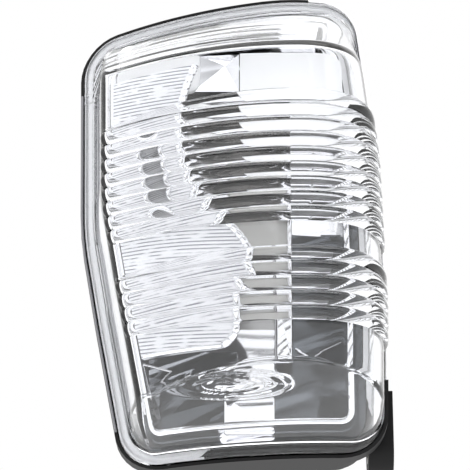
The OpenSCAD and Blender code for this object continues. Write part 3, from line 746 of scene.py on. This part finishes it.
def build_plate(name, outline, y_front, y_back, edge):
    """An outline extruded in depth, with its front edge rolled over."""
    bm = bmesh.new()
    verts = [bm.verts.new(to_frame([x, y_front, z])) for x, z in outline]
    face = bm.faces.new(verts)
    made = bmesh.ops.extrude_face_region(bm, geom=[face])["geom"]
    for v in made:
        if isinstance(v, bmesh.types.BMVert):
            v.co.y += (y_back - y_front) * MM
    front_y = (y_front - BACK_Y) * MM
    rim = [e for e in bm.edges if all(abs(v.co.y - front_y) < 1e-6 for v in e.verts)]
    bmesh.ops.bevel(bm, geom=rim, offset=edge * MM, offset_type="OFFSET", segments=3,
                    profile=0.5, affect="EDGES", material=-1)
    return finish_mesh(bm, name, sharp=40)


UPPER_Y = 22.0
bowl = build_bowl()
upper_outline = rounded_box(1.4, 29.6, 29.5, 54.0, 5.0)[:7] + [(1.4, 54.0), (1.4, 29.5), (29.6, 29.5)]
upper_panel = build_plate("reflector_upper_panel", upper_outline, UPPER_Y, UPPER_Y + 1.5, 0.4)
upper_band = build_plate("reflector_upper_band", rounded_box(-32.0, -9.5, 44.5, 59.0, 3.0),
                         UPPER_Y + 6, UPPER_Y + 7.5, 0.4)
lower_plate = build_plate("reflector_lower_plate",
                          rounded_box(PLATE_LEFT, FACET_X - 0.6, PLATE_LOW, PLATE_TOP, 1.0),
                          PLATE_Y - 6, FLOOR_Y - 0.1, 0.5)
bright_rib = build_plate("reflector_bright_rib",
                         rounded_box(FACET_X - 1.4, FACET_X, -14.0, PLATE_TOP, 0.6),
                         PLATE_Y - 8, FLOOR_Y - 0.1, 0.4)
bright_post = build_plate("reflector_bright_post",
                          rounded_box(FACET_X - 4.8, FACET_X, -30.0, -13.2, 0.9),
                          PLATE_Y - 8, FLOOR_Y - 0.1, 0.6)
APRON_Y = 31.0
APRON_MID_X = 3.0
APRON_R = 75.0


def build_sheet(name, spans, depth, bend_r, tilt, wave, pitch):
    """A bent bright sheet, tilted to look up and waved along a slant."""
    x0, x1, z0, z1 = spans
    rows, cols = 40, 130
    x = np.linspace(x0, x1, cols + 1)[None, :] * np.ones((rows + 1, 1))
    z = np.linspace(z0, z1, rows + 1)[:, None] * np.ones((1, cols + 1))
    y = depth + (x - APRON_MID_X) ** 2 / (2 * bend_r)
    y = y + (z - z0) * math.tan(math.radians(tilt))
    y = y + wave * np.sin(2 * math.pi * (0.94 * z - 0.34 * x) / pitch)
    bm = bmesh.new()
    grid_vertices(bm, to_frame(np.stack([x, y, z], axis=2)))
    bmesh.ops.recalc_face_normals(bm, faces=bm.faces)
    bmesh.ops.solidify(bm, geom=bm.faces[:], thickness=1.0 * MM)
    return finish_mesh(bm, name, sharp=40)


def build_facets(name, corners, depth, tip, tip_depth):
    """Four bright facets that meet in a point."""
    bm = bmesh.new()
    verts = [bm.verts.new(to_frame([x, depth, z])) for x, z in corners]
    face = bm.faces.new(verts)
    middle = bmesh.ops.poke(bm, faces=[face])["verts"][0]
    middle.co = to_frame([tip[0], tip_depth, tip[1]])
    bmesh.ops.recalc_face_normals(bm, faces=bm.faces)
    bmesh.ops.solidify(bm, geom=bm.faces[:], thickness=1.0 * MM)
    return finish_mesh(bm, name, sharp=5)


facets = build_facets("reflector_facets", [(-10.5, 57.0), (1.2, 57.0), (1.2, 45.0), (-11.5, 45.0)],
                      29.0, (-2.6, 51.5), 26.2)
apron = build_sheet("reflector_apron", (-20.0, 27.0, -51.5, -37.0), APRON_Y, APRON_R, 15, 0.55, 11)
low_sheet = build_sheet("reflector_low_sheet", (-22.6, 0.6, -42.0, -27.5), 38.0, 600.0, 0, 0.3, 5.2)
glare_plate = build_plate("reflector_glare_plate", rounded_box(-9.0, 12.0, -41.0, -36.8, 1.8),
                          APRON_Y - 1.6, APRON_Y - 0.6, 0.3)
chin_plate = build_plate("reflector_chin_plate", rounded_box(-2.8, 10.4, -52.5, -42.3, 0.8),
                         APRON_Y - 3.0, APRON_Y - 1.5, 0.4)
for piece in (bowl, upper_panel, upper_band, lower_plate, bright_rib, bright_post, apron,
              chin_plate, facets, low_sheet, glare_plate):
    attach(piece, "lamp")

# %% [markdown]
# ## Seal skirt
# The silicone seal has a thin pale skirt under the lens's sealing edge. It is
# what shows through the clear edge, all the way round. Along the bottom it is
# black: painted shade.

# %% Seal skirt
SKIRT_COUNT = 360
SKIRT_SECTION = [(1.25, 2.44), (5.5, 2.44), (5.6, 2.52), (5.5, 2.64), (1.25, 2.64), (1.15, 2.52)]


def build_skirt(name, low):
    """The skirt in two lengths: the low one lies along the bottom, where it is black as painted shade.
    """
    spots = even_loop(SKIRT_SECTION[0][0], SKIRT_COUNT)
    at_foot = (spots[:, 1] < -50) & (spots[:, 0] > -10)
    first = int(np.argmax(at_foot))
    length = int(at_foot.sum())
    if low:
        order = np.arange(first, first + length)
    else:
        order = np.arange(first + length, first + SKIRT_COUNT)
    order = order % SKIRT_COUNT
    rows = []
    for d, dy in SKIRT_SECTION + SKIRT_SECTION[:1]:
        flat = even_loop(d, SKIRT_COUNT)[order]
        rows.append(np.stack([flat[:, 0], edge_y(flat[:, 0]) + dy, flat[:, 1]], axis=1))
    bm = bmesh.new()
    grid_vertices(bm, to_frame(np.array(rows)))
    bmesh.ops.remove_doubles(bm, verts=bm.verts, dist=1e-7)
    rims = [e for e in bm.edges if e.is_boundary]
    bmesh.ops.holes_fill(bm, edges=rims, sides=0)
    return finish_mesh(bm, name, sharp=40)


skirt = build_skirt("seal_skirt", False)
low_skirt = build_skirt("seal_skirt_low", True)
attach(skirt, "lamp")
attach(low_skirt, "lamp")

# %% [markdown]
# ## Curtain
# A satin panel follows the lens's face behind its left half. Its right edge
# flows in a wave from the top down to a straight, round-cornered end. A bright
# rolled bead runs along that edge, and round a leaning slot.

# %% Curtain
CURTAIN_GAP = 7.0
CURTAIN_T = 1.5
CURTAIN_TOP = 45.0
CURTAIN_LOW = -36.0
CURTAIN_R = 6.0
STRAIGHT_X = 1.0
WAVE_LEFT = -14.1
WAVE_RIGHT = 4.7
WAVE_HIGH = 28.0
WAVE_LOW = -13.0
SLOT_TOP = (-22.5, 22.6)
SLOT_END = (-19.6, 6.6)
SLOT_R = 2.8


def curtain_edge(z):
    if z > WAVE_HIGH:
        return WAVE_LEFT + 4.9 * ((z - WAVE_HIGH) / 18) ** 2
    if z > WAVE_LOW:
        t = ((WAVE_HIGH - z) / (WAVE_HIGH - WAVE_LOW)) ** 1.5
        return WAVE_LEFT + (WAVE_RIGHT - WAVE_LEFT) * (1 - math.cos(math.pi * t)) / 2
    if z > WAVE_LOW - 8:
        turn = math.cos(math.pi * (WAVE_LOW - z) / 8)
        return STRAIGHT_X + (WAVE_RIGHT - STRAIGHT_X) * (1 + turn) / 2
    if z > CURTAIN_LOW + CURTAIN_R:
        return STRAIGHT_X
    s = (CURTAIN_LOW + CURTAIN_R - z) / CURTAIN_R
    return STRAIGHT_X - CURTAIN_R * (1 - math.sqrt(max(0.0, 1 - s * s)))


def slot_distance(x, z):
    """Distance from the slot's middle line."""
    ax, az = SLOT_TOP
    dx, dz = SLOT_END[0] - ax, SLOT_END[1] - az
    t = max(0.0, min(1.0, ((x - ax) * dx + (z - az) * dz) / (dx * dx + dz * dz)))
    return math.hypot(x - ax - t * dx, z - az - t * dz)


def build_curtain():
    rows, cols = 220, 100
    front = np.zeros((rows + 1, cols + 1, 3))
    for j in range(rows + 1):
        z = CURTAIN_LOW + (CURTAIN_TOP - CURTAIN_LOW) * j / rows
        cx = float(corner_x(z))
        x = np.linspace(cx + 3.6, curtain_edge(z), cols + 1)
        front[j, :, 0] = x
        front[j, :, 1] = face_y(x) + CURTAIN_GAP
        front[j, :, 2] = z
    bm = bmesh.new()
    grid_vertices(bm, to_frame(front))
    hole = []
    for f in bm.faces:
        c = f.calc_center_median() / MM
        if slot_distance(c.x, c.z) < SLOT_R:
            hole.append(f)
    bmesh.ops.delete(bm, geom=hole, context="FACES")
    bmesh.ops.recalc_face_normals(bm, faces=bm.faces)
    bmesh.ops.solidify(bm, geom=bm.faces[:], thickness=CURTAIN_T * 0.9 * MM)
    bmesh.ops.recalc_face_normals(bm, faces=bm.faces)
    for f in bm.faces:
        # Faces looking back get the dark finish: painted shade behind the curtain.
        f.material_index = 1 if f.normal.y > 0.3 else 0
    return finish_mesh(bm, "satin_curtain", sharp=40)


def on_curtain(line, lift):
    """Places on the curtain's front, lifted forwards, for points (x, z)."""
    line = np.array(line, float)
    return np.stack([line[:, 0], face_y(line[:, 0]) + CURTAIN_GAP - lift, line[:, 1]], axis=1)


def build_bead(name, path, radius, closed=False, tick=0.0):
    """A round bead along a path; tick is the depth of its fine notches."""
    around = 14
    if closed:
        path = np.concatenate([path, path[:1]])
        ahead = np.roll(path[:-1], -1, axis=0) - np.roll(path[:-1], 1, axis=0)
        ahead = np.concatenate([ahead, ahead[:1]])
    else:
        ahead = np.gradient(path, axis=0)
    ahead /= np.linalg.norm(ahead, axis=1)[:, None]
    side = np.cross(ahead, [0.0, 1.0, 0.0])
    side /= np.linalg.norm(side, axis=1)[:, None]
    up = np.cross(ahead, side)
    run = np.concatenate([[0], np.cumsum(np.linalg.norm(np.diff(path, axis=0), axis=1))])
    size = radius * (1 - tick * np.maximum(0, np.sin(2 * math.pi * run / 2.1)) ** 6)
    a = np.linspace(0, 2 * math.pi, around + 1)
    grid = path[:, None, :] + size[:, None, None] * (
        np.cos(a)[None, :, None] * side[:, None, :] + np.sin(a)[None, :, None] * up[:, None, :])
    bm = bmesh.new()
    grid_vertices(bm, to_frame(grid))
    bmesh.ops.remove_doubles(bm, verts=bm.verts, dist=1e-7)
    if not closed:
        rims = [e for e in bm.edges if e.is_boundary]
        bmesh.ops.holes_fill(bm, edges=rims, sides=0)
    return finish_mesh(bm, name, sharp=60)


edge_path = [(curtain_edge(z) - 0.5, z) for z in np.linspace(CURTAIN_TOP - 0.6, CURTAIN_LOW + 0.6, 420)]
low_left = float(corner_x(CURTAIN_LOW)) + 4.2
foot_path = [(x, CURTAIN_LOW + 0.5) for x in np.linspace(edge_path[-1][0] - 0.4, low_left, 60)]
slot_path = []
lean = math.atan2(SLOT_END[1] - SLOT_TOP[1], SLOT_END[0] - SLOT_TOP[0])
for (cx, cz), first in ((SLOT_END, lean - math.pi / 2), (SLOT_TOP, lean + math.pi / 2)):
    for k in range(25):
        a = first + math.pi * k / 24
        slot_path.append((cx + (SLOT_R + 0.1) * math.cos(a), cz + (SLOT_R + 0.1) * math.sin(a)))
slot_line = []
for k, spot in enumerate(slot_path):
    after = slot_path[(k + 1) % len(slot_path)]
    steps = 30 if k in (24, 49) else 1
    for m in range(steps):
        t = m / steps
        slot_line.append((spot[0] * (1 - t) + after[0] * t, spot[1] * (1 - t) + after[1] * t))

# %% Sealing bead over the lip
BEAD_IN = 0.46
BEAD_R = 0.42
BEAD_DY = 0.6


def edge_run(keep):
    """The longest stretch of the lip's middle line whose points pass keep."""
    flat = even_loop(BEAD_IN, 720)
    passed = np.array([keep(x, z) for x, z in flat])
    first = int(np.argmax(passed & ~np.roll(passed, 1)))
    flat = np.roll(flat, -first, axis=0)[:int(passed.sum())]
    return np.stack([flat[:, 0], edge_y(flat[:, 0]) + BEAD_DY, flat[:, 1]], axis=1)


def on_right(x, z):
    return x > 20 and z > -38


def on_left(x, z):
    return x < -25 and -50 < z < 52


right_bead = build_bead("edge_bead_right", edge_run(on_right), BEAD_R)
# The left stretch takes a darker grey copy of the silicone: painted shade.
left_bead = build_bead("edge_bead_left", edge_run(on_left), BEAD_R * 0.8)
for piece in (right_bead, left_bead):
    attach(piece, "lamp")

# %% Curtain pieces
curtain = build_curtain()
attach(curtain, "lamp")
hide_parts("curtain")
edge_bead = build_bead("curtain_edge_bead", on_curtain(edge_path, 0.2), 1.05, tick=0.3)
foot_bead = build_bead("curtain_foot_bead", on_curtain(foot_path, 0.1), 0.6)
slot_bead = build_bead("curtain_slot_bead", on_curtain(slot_line, 0.2), 0.7, closed=True)
pocket_outline = [(x + 0.0, z) for x, z in slot_path]
slot_pocket = build_plate("curtain_slot_pocket", pocket_outline, 19.9, 20.5, 0.1)


def fine_path(stops, steps=12):
    """Straight runs between the stops (x, depth, z), finely divided."""
    path = []
    for start, end in zip(stops[:-1], stops[1:]):
        for k in range(steps):
            path.append(np.array(start) * (1 - k / steps) + np.array(end) * k / steps)
    return np.array(path + [np.array(stops[-1], float)])


facet_line = build_bead("reflector_facet_line", fine_path(
    [(-24.2, 36.0, -31.6), (-16.5, 36.4, -33.6), (-22.3, 36.0, -39.6), (-24.2, 36.0, -31.8)]), 0.3)
panel_line = build_bead("reflector_panel_line", fine_path(
    [(16.4, 44.2, -24.4), (20.8, 43.4, -26.7), (29.2, 45.2, -22.3)]), 0.28)
for piece in (edge_bead, foot_bead, slot_bead, slot_pocket, facet_line, panel_line):
    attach(piece, "lamp")

# %% [markdown]
# ## Finishes
# Each finish is procedural and named for the real material; the names of those that
# carry painted light or shade say so. Colours are given as sRGB hex and turned
# linear by one function.

# %% Material helpers
def linear(hex_colour):
    """sRGB hex to the linear colour that the shaders use."""
    parts = [int(hex_colour[k:k + 2], 16) / 255 for k in (1, 3, 5)]
    return [c / 12.92 if c <= 0.04045 else ((c + 0.055) / 1.055) ** 2.4 for c in parts] + [1.0]


def new_material(name):
    material = bpy.data.materials.new(name)
    material.use_nodes = True
    nodes = material.node_tree.nodes
    return material, nodes, material.node_tree.links, nodes["Principled BSDF"]


def add(nodes, kind, **values):
    """Adds a node, setting attributes or, with a name in quotes, its sockets."""
    node = nodes.new(kind)
    for key, value in values.items():
        if hasattr(node, key):
            setattr(node, key, value)
        else:
            node.inputs[key.replace("_", " ")].default_value = value
    return node


def give(material, *objects):
    for obj in objects:
        if obj.data.materials:
            obj.data.materials[0] = material
        else:
            obj.data.materials.append(material)


def give_second(material, *objects):
    """A second finish, for the faces that were marked when the mesh was built."""
    for obj in objects:
        obj.data.materials.append(material)


def grain(nodes, links, shader, scale_mm, strength, distance_mm, stretch=(1, 1, 1)):
    """Fine surface relief, with a pattern about scale_mm across."""
    place = add(nodes, "ShaderNodeTexCoord")
    mapping = add(nodes, "ShaderNodeMapping")
    mapping.inputs["Scale"].default_value = stretch
    noise = add(nodes, "ShaderNodeTexNoise", Scale=1000 / scale_mm, Detail=3.0)
    bump = add(nodes, "ShaderNodeBump", Strength=strength, Distance=distance_mm * MM)
    links.new(place.outputs["Object"], mapping.inputs["Vector"])
    links.new(mapping.outputs["Vector"], noise.inputs["Vector"])
    links.new(noise.outputs["Fac"], bump.inputs["Height"])
    links.new(bump.outputs["Normal"], shader.inputs["Normal"])
    return noise


# %% Clear acrylic
def clear_acrylic():
    material, nodes, links, shader = new_material("clear_acrylic")
    shader.inputs["Base Color"].default_value = linear("#fbfcfe")
    shader.inputs["Roughness"].default_value = 0.0
    shader.inputs["IOR"].default_value = 1.49
    shader.inputs["Transmission Weight"].default_value = 1.0
    grain(nodes, links, shader, 9.0, 0.08, 0.05)
    return material


# %% Metallised plastic
def metallised():
    material, nodes, links, shader = new_material("metallised_plastic")
    shader.inputs["Base Color"].default_value = linear("#f3f3f5")
    shader.inputs["Metallic"].default_value = 1.0
    shader.inputs["Roughness"].default_value = 0.05
    grain(nodes, links, shader, 14.0, 0.1, 0.1)
    return material


# A copy of the chrome in a darker colour: painted reflection of darker surroundings.
def chrome_with_painted_reflection(name, colour):
    material, nodes, links, shader = new_material(name)
    shader.inputs["Base Color"].default_value = linear(colour)
    shader.inputs["Metallic"].default_value = 1.0
    shader.inputs["Roughness"].default_value = 0.1
    grain(nodes, links, shader, 9.0, 0.15, 0.1, stretch=(1, 1, 2))
    return material


# %% Satin curtain and plate
def flutes(nodes, links, shader, pitch_mm, pale, dark, relief_mm):
    """Fine level flutes, drawn in relief, with painted shade darkening their grooves."""
    place = add(nodes, "ShaderNodeTexCoord")
    mapping = add(nodes, "ShaderNodeMapping")
    mapping.inputs["Rotation"].default_value = (0.0, math.radians(-10), 0.0)
    mapping.inputs["Scale"].default_value = (0.5, 1.0, 1.0)
    wave = add(nodes, "ShaderNodeTexWave", wave_type="BANDS", bands_direction="Z",
               Scale=1000 * 2 * math.pi / 20 / pitch_mm, Distortion=3.5, Detail=2.0)
    wave.inputs["Detail Scale"].default_value = 0.12
    # The ramp paints the grooves dark: painted shade in the flutes.
    ramp = add(nodes, "ShaderNodeValToRGB")
    ramp.color_ramp.elements[0].position = 0.02
    ramp.color_ramp.elements[0].color = linear(dark)
    ramp.color_ramp.elements[1].position = 0.42
    ramp.color_ramp.elements[1].color = linear(pale)
    bump = add(nodes, "ShaderNodeBump", Strength=0.7, Distance=relief_mm * MM)
    wide = add(nodes, "ShaderNodeMapping")
    wide.inputs["Rotation"].default_value = (0.0, math.radians(-10), 0.0)
    wide.inputs["Scale"].default_value = (0.05, 1.0, 1.0)
    patches = add(nodes, "ShaderNodeTexNoise", Scale=1000 / 2.6, Detail=2.0)
    depth = add(nodes, "ShaderNodeMapRange", interpolation_type="SMOOTHSTEP")
    depth.inputs["From Min"].default_value = 0.47
    depth.inputs["From Max"].default_value = 0.66
    tone = add(nodes, "ShaderNodeMix", data_type="RGBA", blend_type="MIX")
    tone.inputs["B"].default_value = linear(pale)
    links.new(place.outputs["Object"], mapping.inputs["Vector"])
    links.new(place.outputs["Object"], wide.inputs["Vector"])
    links.new(wide.outputs["Vector"], patches.inputs["Vector"])
    links.new(patches.outputs["Fac"], depth.inputs["Value"])
    links.new(mapping.outputs["Vector"], wave.inputs["Vector"])
    links.new(wave.outputs["Fac"], ramp.inputs["Fac"])
    links.new(depth.outputs["Result"], tone.inputs["Factor"])
    links.new(ramp.outputs["Color"], tone.inputs["A"])
    links.new(tone.outputs["Result"], shader.inputs["Base Color"])
    links.new(wave.outputs["Fac"], bump.inputs["Height"])
    links.new(bump.outputs["Normal"], shader.inputs["Normal"])


def satin():
    material, nodes, links, shader = new_material("satin_metallised")
    shader.inputs["Metallic"].default_value = 0.25
    shader.inputs["Roughness"].default_value = 0.3
    # Grey in the flutes' grooves is painted shade.
    flutes(nodes, links, shader, 1.0, "#fbfbfd", "#80808a", 0.14)
    return material


def satin_plate():
    material, nodes, links, shader = new_material("satin_grey_metallised")
    shader.inputs["Base Color"].default_value = linear("#c6c5c1")
    shader.inputs["Metallic"].default_value = 0.5
    shader.inputs["Roughness"].default_value = 0.3
    grain(nodes, links, shader, 1.6, 0.3, 0.05)
    return material


# The pocket behind the slot, much darker than the curtain and with near-black grooves: painted shade in
# the recess.
def dark_pocket():
    material, nodes, links, shader = new_material("fluted_satin_painted_shade")
    shader.inputs["Roughness"].default_value = 0.35
    flutes(nodes, links, shader, 1.1, "#b4b4b8", "#08080a", 0.3)
    return material


# The curtain's back in dark grey: painted shade, which the chrome below reflects.
def dark_back():
    material, nodes, links, shader = new_material("curtain_back_painted_shade")
    shader.inputs["Base Color"].default_value = linear("#4a4a4e")
    shader.inputs["Roughness"].default_value = 0.4
    grain(nodes, links, shader, 1.0, 0.2, 0.03)
    return material


# Flat white on the upper reflector panels: painted bright reflection.
def white_panel():
    material, nodes, links, shader = new_material("white_painted_reflection")
    shader.inputs["Base Color"].default_value = linear("#f8f8f8")
    shader.inputs["Roughness"].default_value = 0.25
    grain(nodes, links, shader, 5.0, 0.1, 0.05)
    return material


# %% Black housing plastic
def black_plastic():
    material, nodes, links, shader = new_material("black_moulded_plastic")
    shader.inputs["Base Color"].default_value = linear("#0b0b0c")
    shader.inputs["Roughness"].default_value = 0.55
    shader.inputs["Specular IOR Level"].default_value = 0.2
    grain(nodes, links, shader, 0.5, 0.2, 0.03)
    return material


def silicone():
    material, nodes, links, shader = new_material("pale_silicone")
    shader.inputs["Base Color"].default_value = linear("#f2f2f3")
    shader.inputs["Roughness"].default_value = 0.45
    grain(nodes, links, shader, 2.0, 0.2, 0.05)
    return material


# A grey copy of the pale silicone for the lip bead's left stretch: painted shade.
def silicone_painted_shade():
    material, nodes, links, shader = new_material("silicone_painted_shade")
    shader.inputs["Base Color"].default_value = linear("#77777b")
    shader.inputs["Roughness"].default_value = 0.5
    grain(nodes, links, shader, 2.0, 0.2, 0.05)
    return material


# Black rubber for the seals, and also painted shade on the skirt's bottom stretch.
def rubber():
    material, nodes, links, shader = new_material("black_rubber")
    shader.inputs["Base Color"].default_value = linear("#1a1a1a")
    shader.inputs["Roughness"].default_value = 0.7
    grain(nodes, links, shader, 0.8, 0.15, 0.03)
    return material


# %% Silvered bulb glass, darkened as painted reflection
def silvered_glass():
    material, nodes, links, shader = new_material("silvered_amber_glass_painted_dark")
    # The dark mirror colour paints in the dark that the bulb reflects.
    shader.inputs["Base Color"].default_value = linear("#4d4b49")
    shader.inputs["Metallic"].default_value = 1.0
    shader.inputs["Roughness"].default_value = 0.05
    grain(nodes, links, shader, 6.0, 0.05, 0.05)
    return material


# %% Plated steel, brass, natural plastic and membrane
def plated_steel():
    material, nodes, links, shader = new_material("zinc_plated_steel")
    shader.inputs["Base Color"].default_value = linear("#c4c4c0")
    shader.inputs["Metallic"].default_value = 1.0
    shader.inputs["Roughness"].default_value = 0.32
    grain(nodes, links, shader, 0.3, 0.15, 0.01)
    return material


def brass():
    material, nodes, links, shader = new_material("bright_brass")
    shader.inputs["Base Color"].default_value = linear("#d8b46a")
    shader.inputs["Metallic"].default_value = 1.0
    shader.inputs["Roughness"].default_value = 0.25
    grain(nodes, links, shader, 0.3, 0.1, 0.01)
    return material


def pale_plastic():
    material, nodes, links, shader = new_material("natural_nylon")
    shader.inputs["Base Color"].default_value = linear("#cfcfc6")
    shader.inputs["Roughness"].default_value = 0.5
    grain(nodes, links, shader, 0.4, 0.1, 0.02)
    return material


black = black_plastic()
soft_black = rubber()
steel = plated_steel()
give(clear_acrylic(), lens)
chrome = metallised()
give(chrome, reflector, bowl, bright_rib, bright_post, edge_bead, foot_bead, slot_bead)
# Darker chrome for the apron and the marked reflector faces: painted dark reflection.
dark_reflection_chrome = chrome_with_painted_reflection("chrome_painted_dark_reflection", "#4e5155")
# Grey chrome for the low sheet: painted grey reflection.
grey_reflection_chrome = chrome_with_painted_reflection("chrome_painted_grey_reflection", "#94969a")
give(dark_reflection_chrome, apron)
give_second(dark_reflection_chrome, reflector)
give(chrome, chin_plate, facets, glare_plate, facet_line, panel_line)
give(grey_reflection_chrome, low_sheet)
# The upper panels' white is painted bright reflection.
give(white_panel(), upper_panel, upper_band)
give(satin_plate(), lower_plate)
give(dark_pocket(), slot_pocket)
give(satin(), curtain)
give_second(dark_back(), curtain)
give(black, nodes_of["housing"], nodes_of["bulb_holder"])
give(silicone(), nodes_of["rim_gasket"], skirt, right_bead)
give(silicone_painted_shade(), left_bead)
# The skirt's bottom stretch in black: painted shade along the bottom.
give(soft_black, low_skirt, nodes_of["holder_seal"], nodes_of["vent_cap"])
give(steel, nodes_of["reflector_screws"], nodes_of["ear_bush"], nodes_of["retaining_clip"])
give(silvered_glass(), nodes_of["bulb"])
give(brass(), nodes_of["contact_left"], nodes_of["contact_right"])
give(pale_plastic(), nodes_of["terminal_plate"], nodes_of["vent_membrane"])

# %% [markdown]
# ## Studio
# The camera looks up from slightly below, as the photograph does. The world is
# white to the camera, and a gradient with dark bands to mirror and glass rays,
# which gives clear plastic its dark outlines.

# %% Camera
ELEVATION = -22.0
DISTANCE = 600.0
MM_PER_PIXEL = 0.265
FRAME_PIXELS = 470
target = Vector((0, 22 - BACK_Y, 0)) * MM
scene = bpy.context.scene
camera_data = bpy.data.cameras.new("camera")
camera = bpy.data.objects.new("camera", camera_data)
scene.collection.objects.link(camera)
scene.camera = camera
e = math.radians(ELEVATION)
away = Vector((0, -math.cos(e), math.sin(e)))
camera.location = target + away * DISTANCE * MM
camera.rotation_mode = "QUATERNION"
camera.rotation_quaternion = (-away).to_track_quat("-Z", "Y")
camera_data.sensor_width = 36.0
camera_data.lens = 36.0 * DISTANCE / (MM_PER_PIXEL * FRAME_PIXELS)
camera_data.clip_start = 0.01
camera_data.clip_end = 20.0

# %% Floor
FLOOR_Z = -0.6
bm = bmesh.new()
bmesh.ops.create_grid(bm, x_segments=2, y_segments=2, size=2.5)
for v in bm.verts:
    v.co.z = FLOOR_Z
floor = finish_mesh(bm, "floor")
floor_material, _, _, floor_shader = new_material("white_paper")
floor_shader.inputs["Base Color"].default_value = linear("#f4f4f4")
floor_shader.inputs["Roughness"].default_value = 0.9
give(floor_material, floor)


# %% World
def math_node(nodes, links, operation, first, second):
    """A maths node on two sockets or numbers."""
    node = add(nodes, "ShaderNodeMath", operation=operation)
    for k, value in enumerate((first, second)):
        if isinstance(value, (int, float)):
            node.inputs[k].default_value = value
        else:
            links.new(value, node.inputs[k])
    return node.outputs["Value"]


def rise(nodes, links, value, start, end):
    """Goes smoothly from 0 at start to 1 at end."""
    node = add(nodes, "ShaderNodeMapRange", interpolation_type="SMOOTHSTEP")
    node.inputs["From Min"].default_value = start
    node.inputs["From Max"].default_value = end
    links.new(value, node.inputs["Value"])
    return node.outputs["Result"]


def band(nodes, links, value, low, high, soft):
    """1 between low and high, with soft ends."""
    up = rise(nodes, links, value, low - soft, low + soft)
    down = rise(nodes, links, value, high + soft, high - soft)
    return math_node(nodes, links, "MULTIPLY", up, down)


STUDIO_DARK = 0.03
STUDIO_STREAK = 0.5
STUDIO_WHITE = 1.25
SOFT_LIFT = 0.85


def studio_world():
    world = bpy.data.worlds.new("studio")
    scene.world = world
    world.use_nodes = True
    nodes, links = world.node_tree.nodes, world.node_tree.links
    nodes.clear()
    out = add(nodes, "ShaderNodeOutputWorld")
    place = add(nodes, "ShaderNodeTexCoord")
    split = add(nodes, "ShaderNodeSeparateXYZ")
    links.new(place.outputs["Generated"], split.inputs["Vector"])
    side, ahead, height = split.outputs["X"], split.outputs["Y"], split.outputs["Z"]
    low_light = rise(nodes, links, height, 0.56, 0.44)
    strip = math_node(nodes, links, "MULTIPLY",
                      band(nodes, links, side, -0.12, 0.12, 0.03),
                      band(nodes, links, height, 0.66, 0.97, 0.03))
    slant = math_node(nodes, links, "ADD", height, math_node(nodes, links, "MULTIPLY", side, 0.8))
    streak_a = band(nodes, links, slant, 0.98, 1.04, 0.05)
    streak_b = band(nodes, links, slant, 0.70, 0.74, 0.04)
    streaks = math_node(nodes, links, "MULTIPLY",
                        math_node(nodes, links, "MAXIMUM", streak_a, streak_b), STUDIO_STREAK)
    level = math_node(nodes, links, "MAXIMUM", low_light, strip)
    level = math_node(nodes, links, "MAXIMUM", level, rise(nodes, links, height, 0.78, 0.86))
    apart = math_node(nodes, links, "ABSOLUTE", side, 0.0)
    level = math_node(nodes, links, "MAXIMUM", level, rise(nodes, links, apart, 0.46, 0.60))
    level = math_node(nodes, links, "MAXIMUM", level, streaks)
    behind = rise(nodes, links, ahead, 0.2, 0.4)
    level = math_node(nodes, links, "MAXIMUM", level, behind)
    level = math_node(nodes, links, "MAXIMUM", level, STUDIO_DARK)
    level = math_node(nodes, links, "MULTIPLY", level, STUDIO_WHITE)
    white = add(nodes, "ShaderNodeBackground", Color=(1, 1, 1, 1))
    rays = add(nodes, "ShaderNodeBackground", Color=(1, 1, 1, 1))
    links.new(level, rays.inputs["Strength"])
    path = add(nodes, "ShaderNodeLightPath")
    soft = math_node(nodes, links, "GREATER_THAN", path.outputs["Diffuse Depth"], 0.5)
    lift = math_node(nodes, links, "MULTIPLY", soft, SOFT_LIFT)
    links.new(math_node(nodes, links, "ADD", lift, 1.0), white.inputs["Strength"])
    either = math_node(nodes, links, "MAXIMUM", path.outputs["Is Glossy Ray"],
                       path.outputs["Is Transmission Ray"])
    either = math_node(nodes, links, "MULTIPLY", either,
                       math_node(nodes, links, "SUBTRACT", 1.0, soft))
    mix = add(nodes, "ShaderNodeMixShader")
    links.new(either, mix.inputs["Fac"])
    links.new(white.outputs["Background"], mix.inputs[1])
    links.new(rays.outputs["Background"], mix.inputs[2])
    links.new(mix.outputs["Shader"], out.inputs["Surface"])


studio_world()


# %% Lamps
def softbox(name, place, size, power):
    data = bpy.data.lights.new(name, "AREA")
    data.shape = "RECTANGLE"
    data.size = size[0] * MM
    data.size_y = size[1] * MM
    data.energy = power
    lamp = bpy.data.objects.new(name, data)
    scene.collection.objects.link(lamp)
    lamp.location = Vector(place) * MM
    lamp.rotation_mode = "QUATERNION"
    toward = target - lamp.location
    lamp.rotation_quaternion = toward.to_track_quat("-Z", "Y")
    return lamp


softbox("top_box", (0, -300, 900), (900, 600), 2.0)

scene.view_settings.view_transform = "Standard"
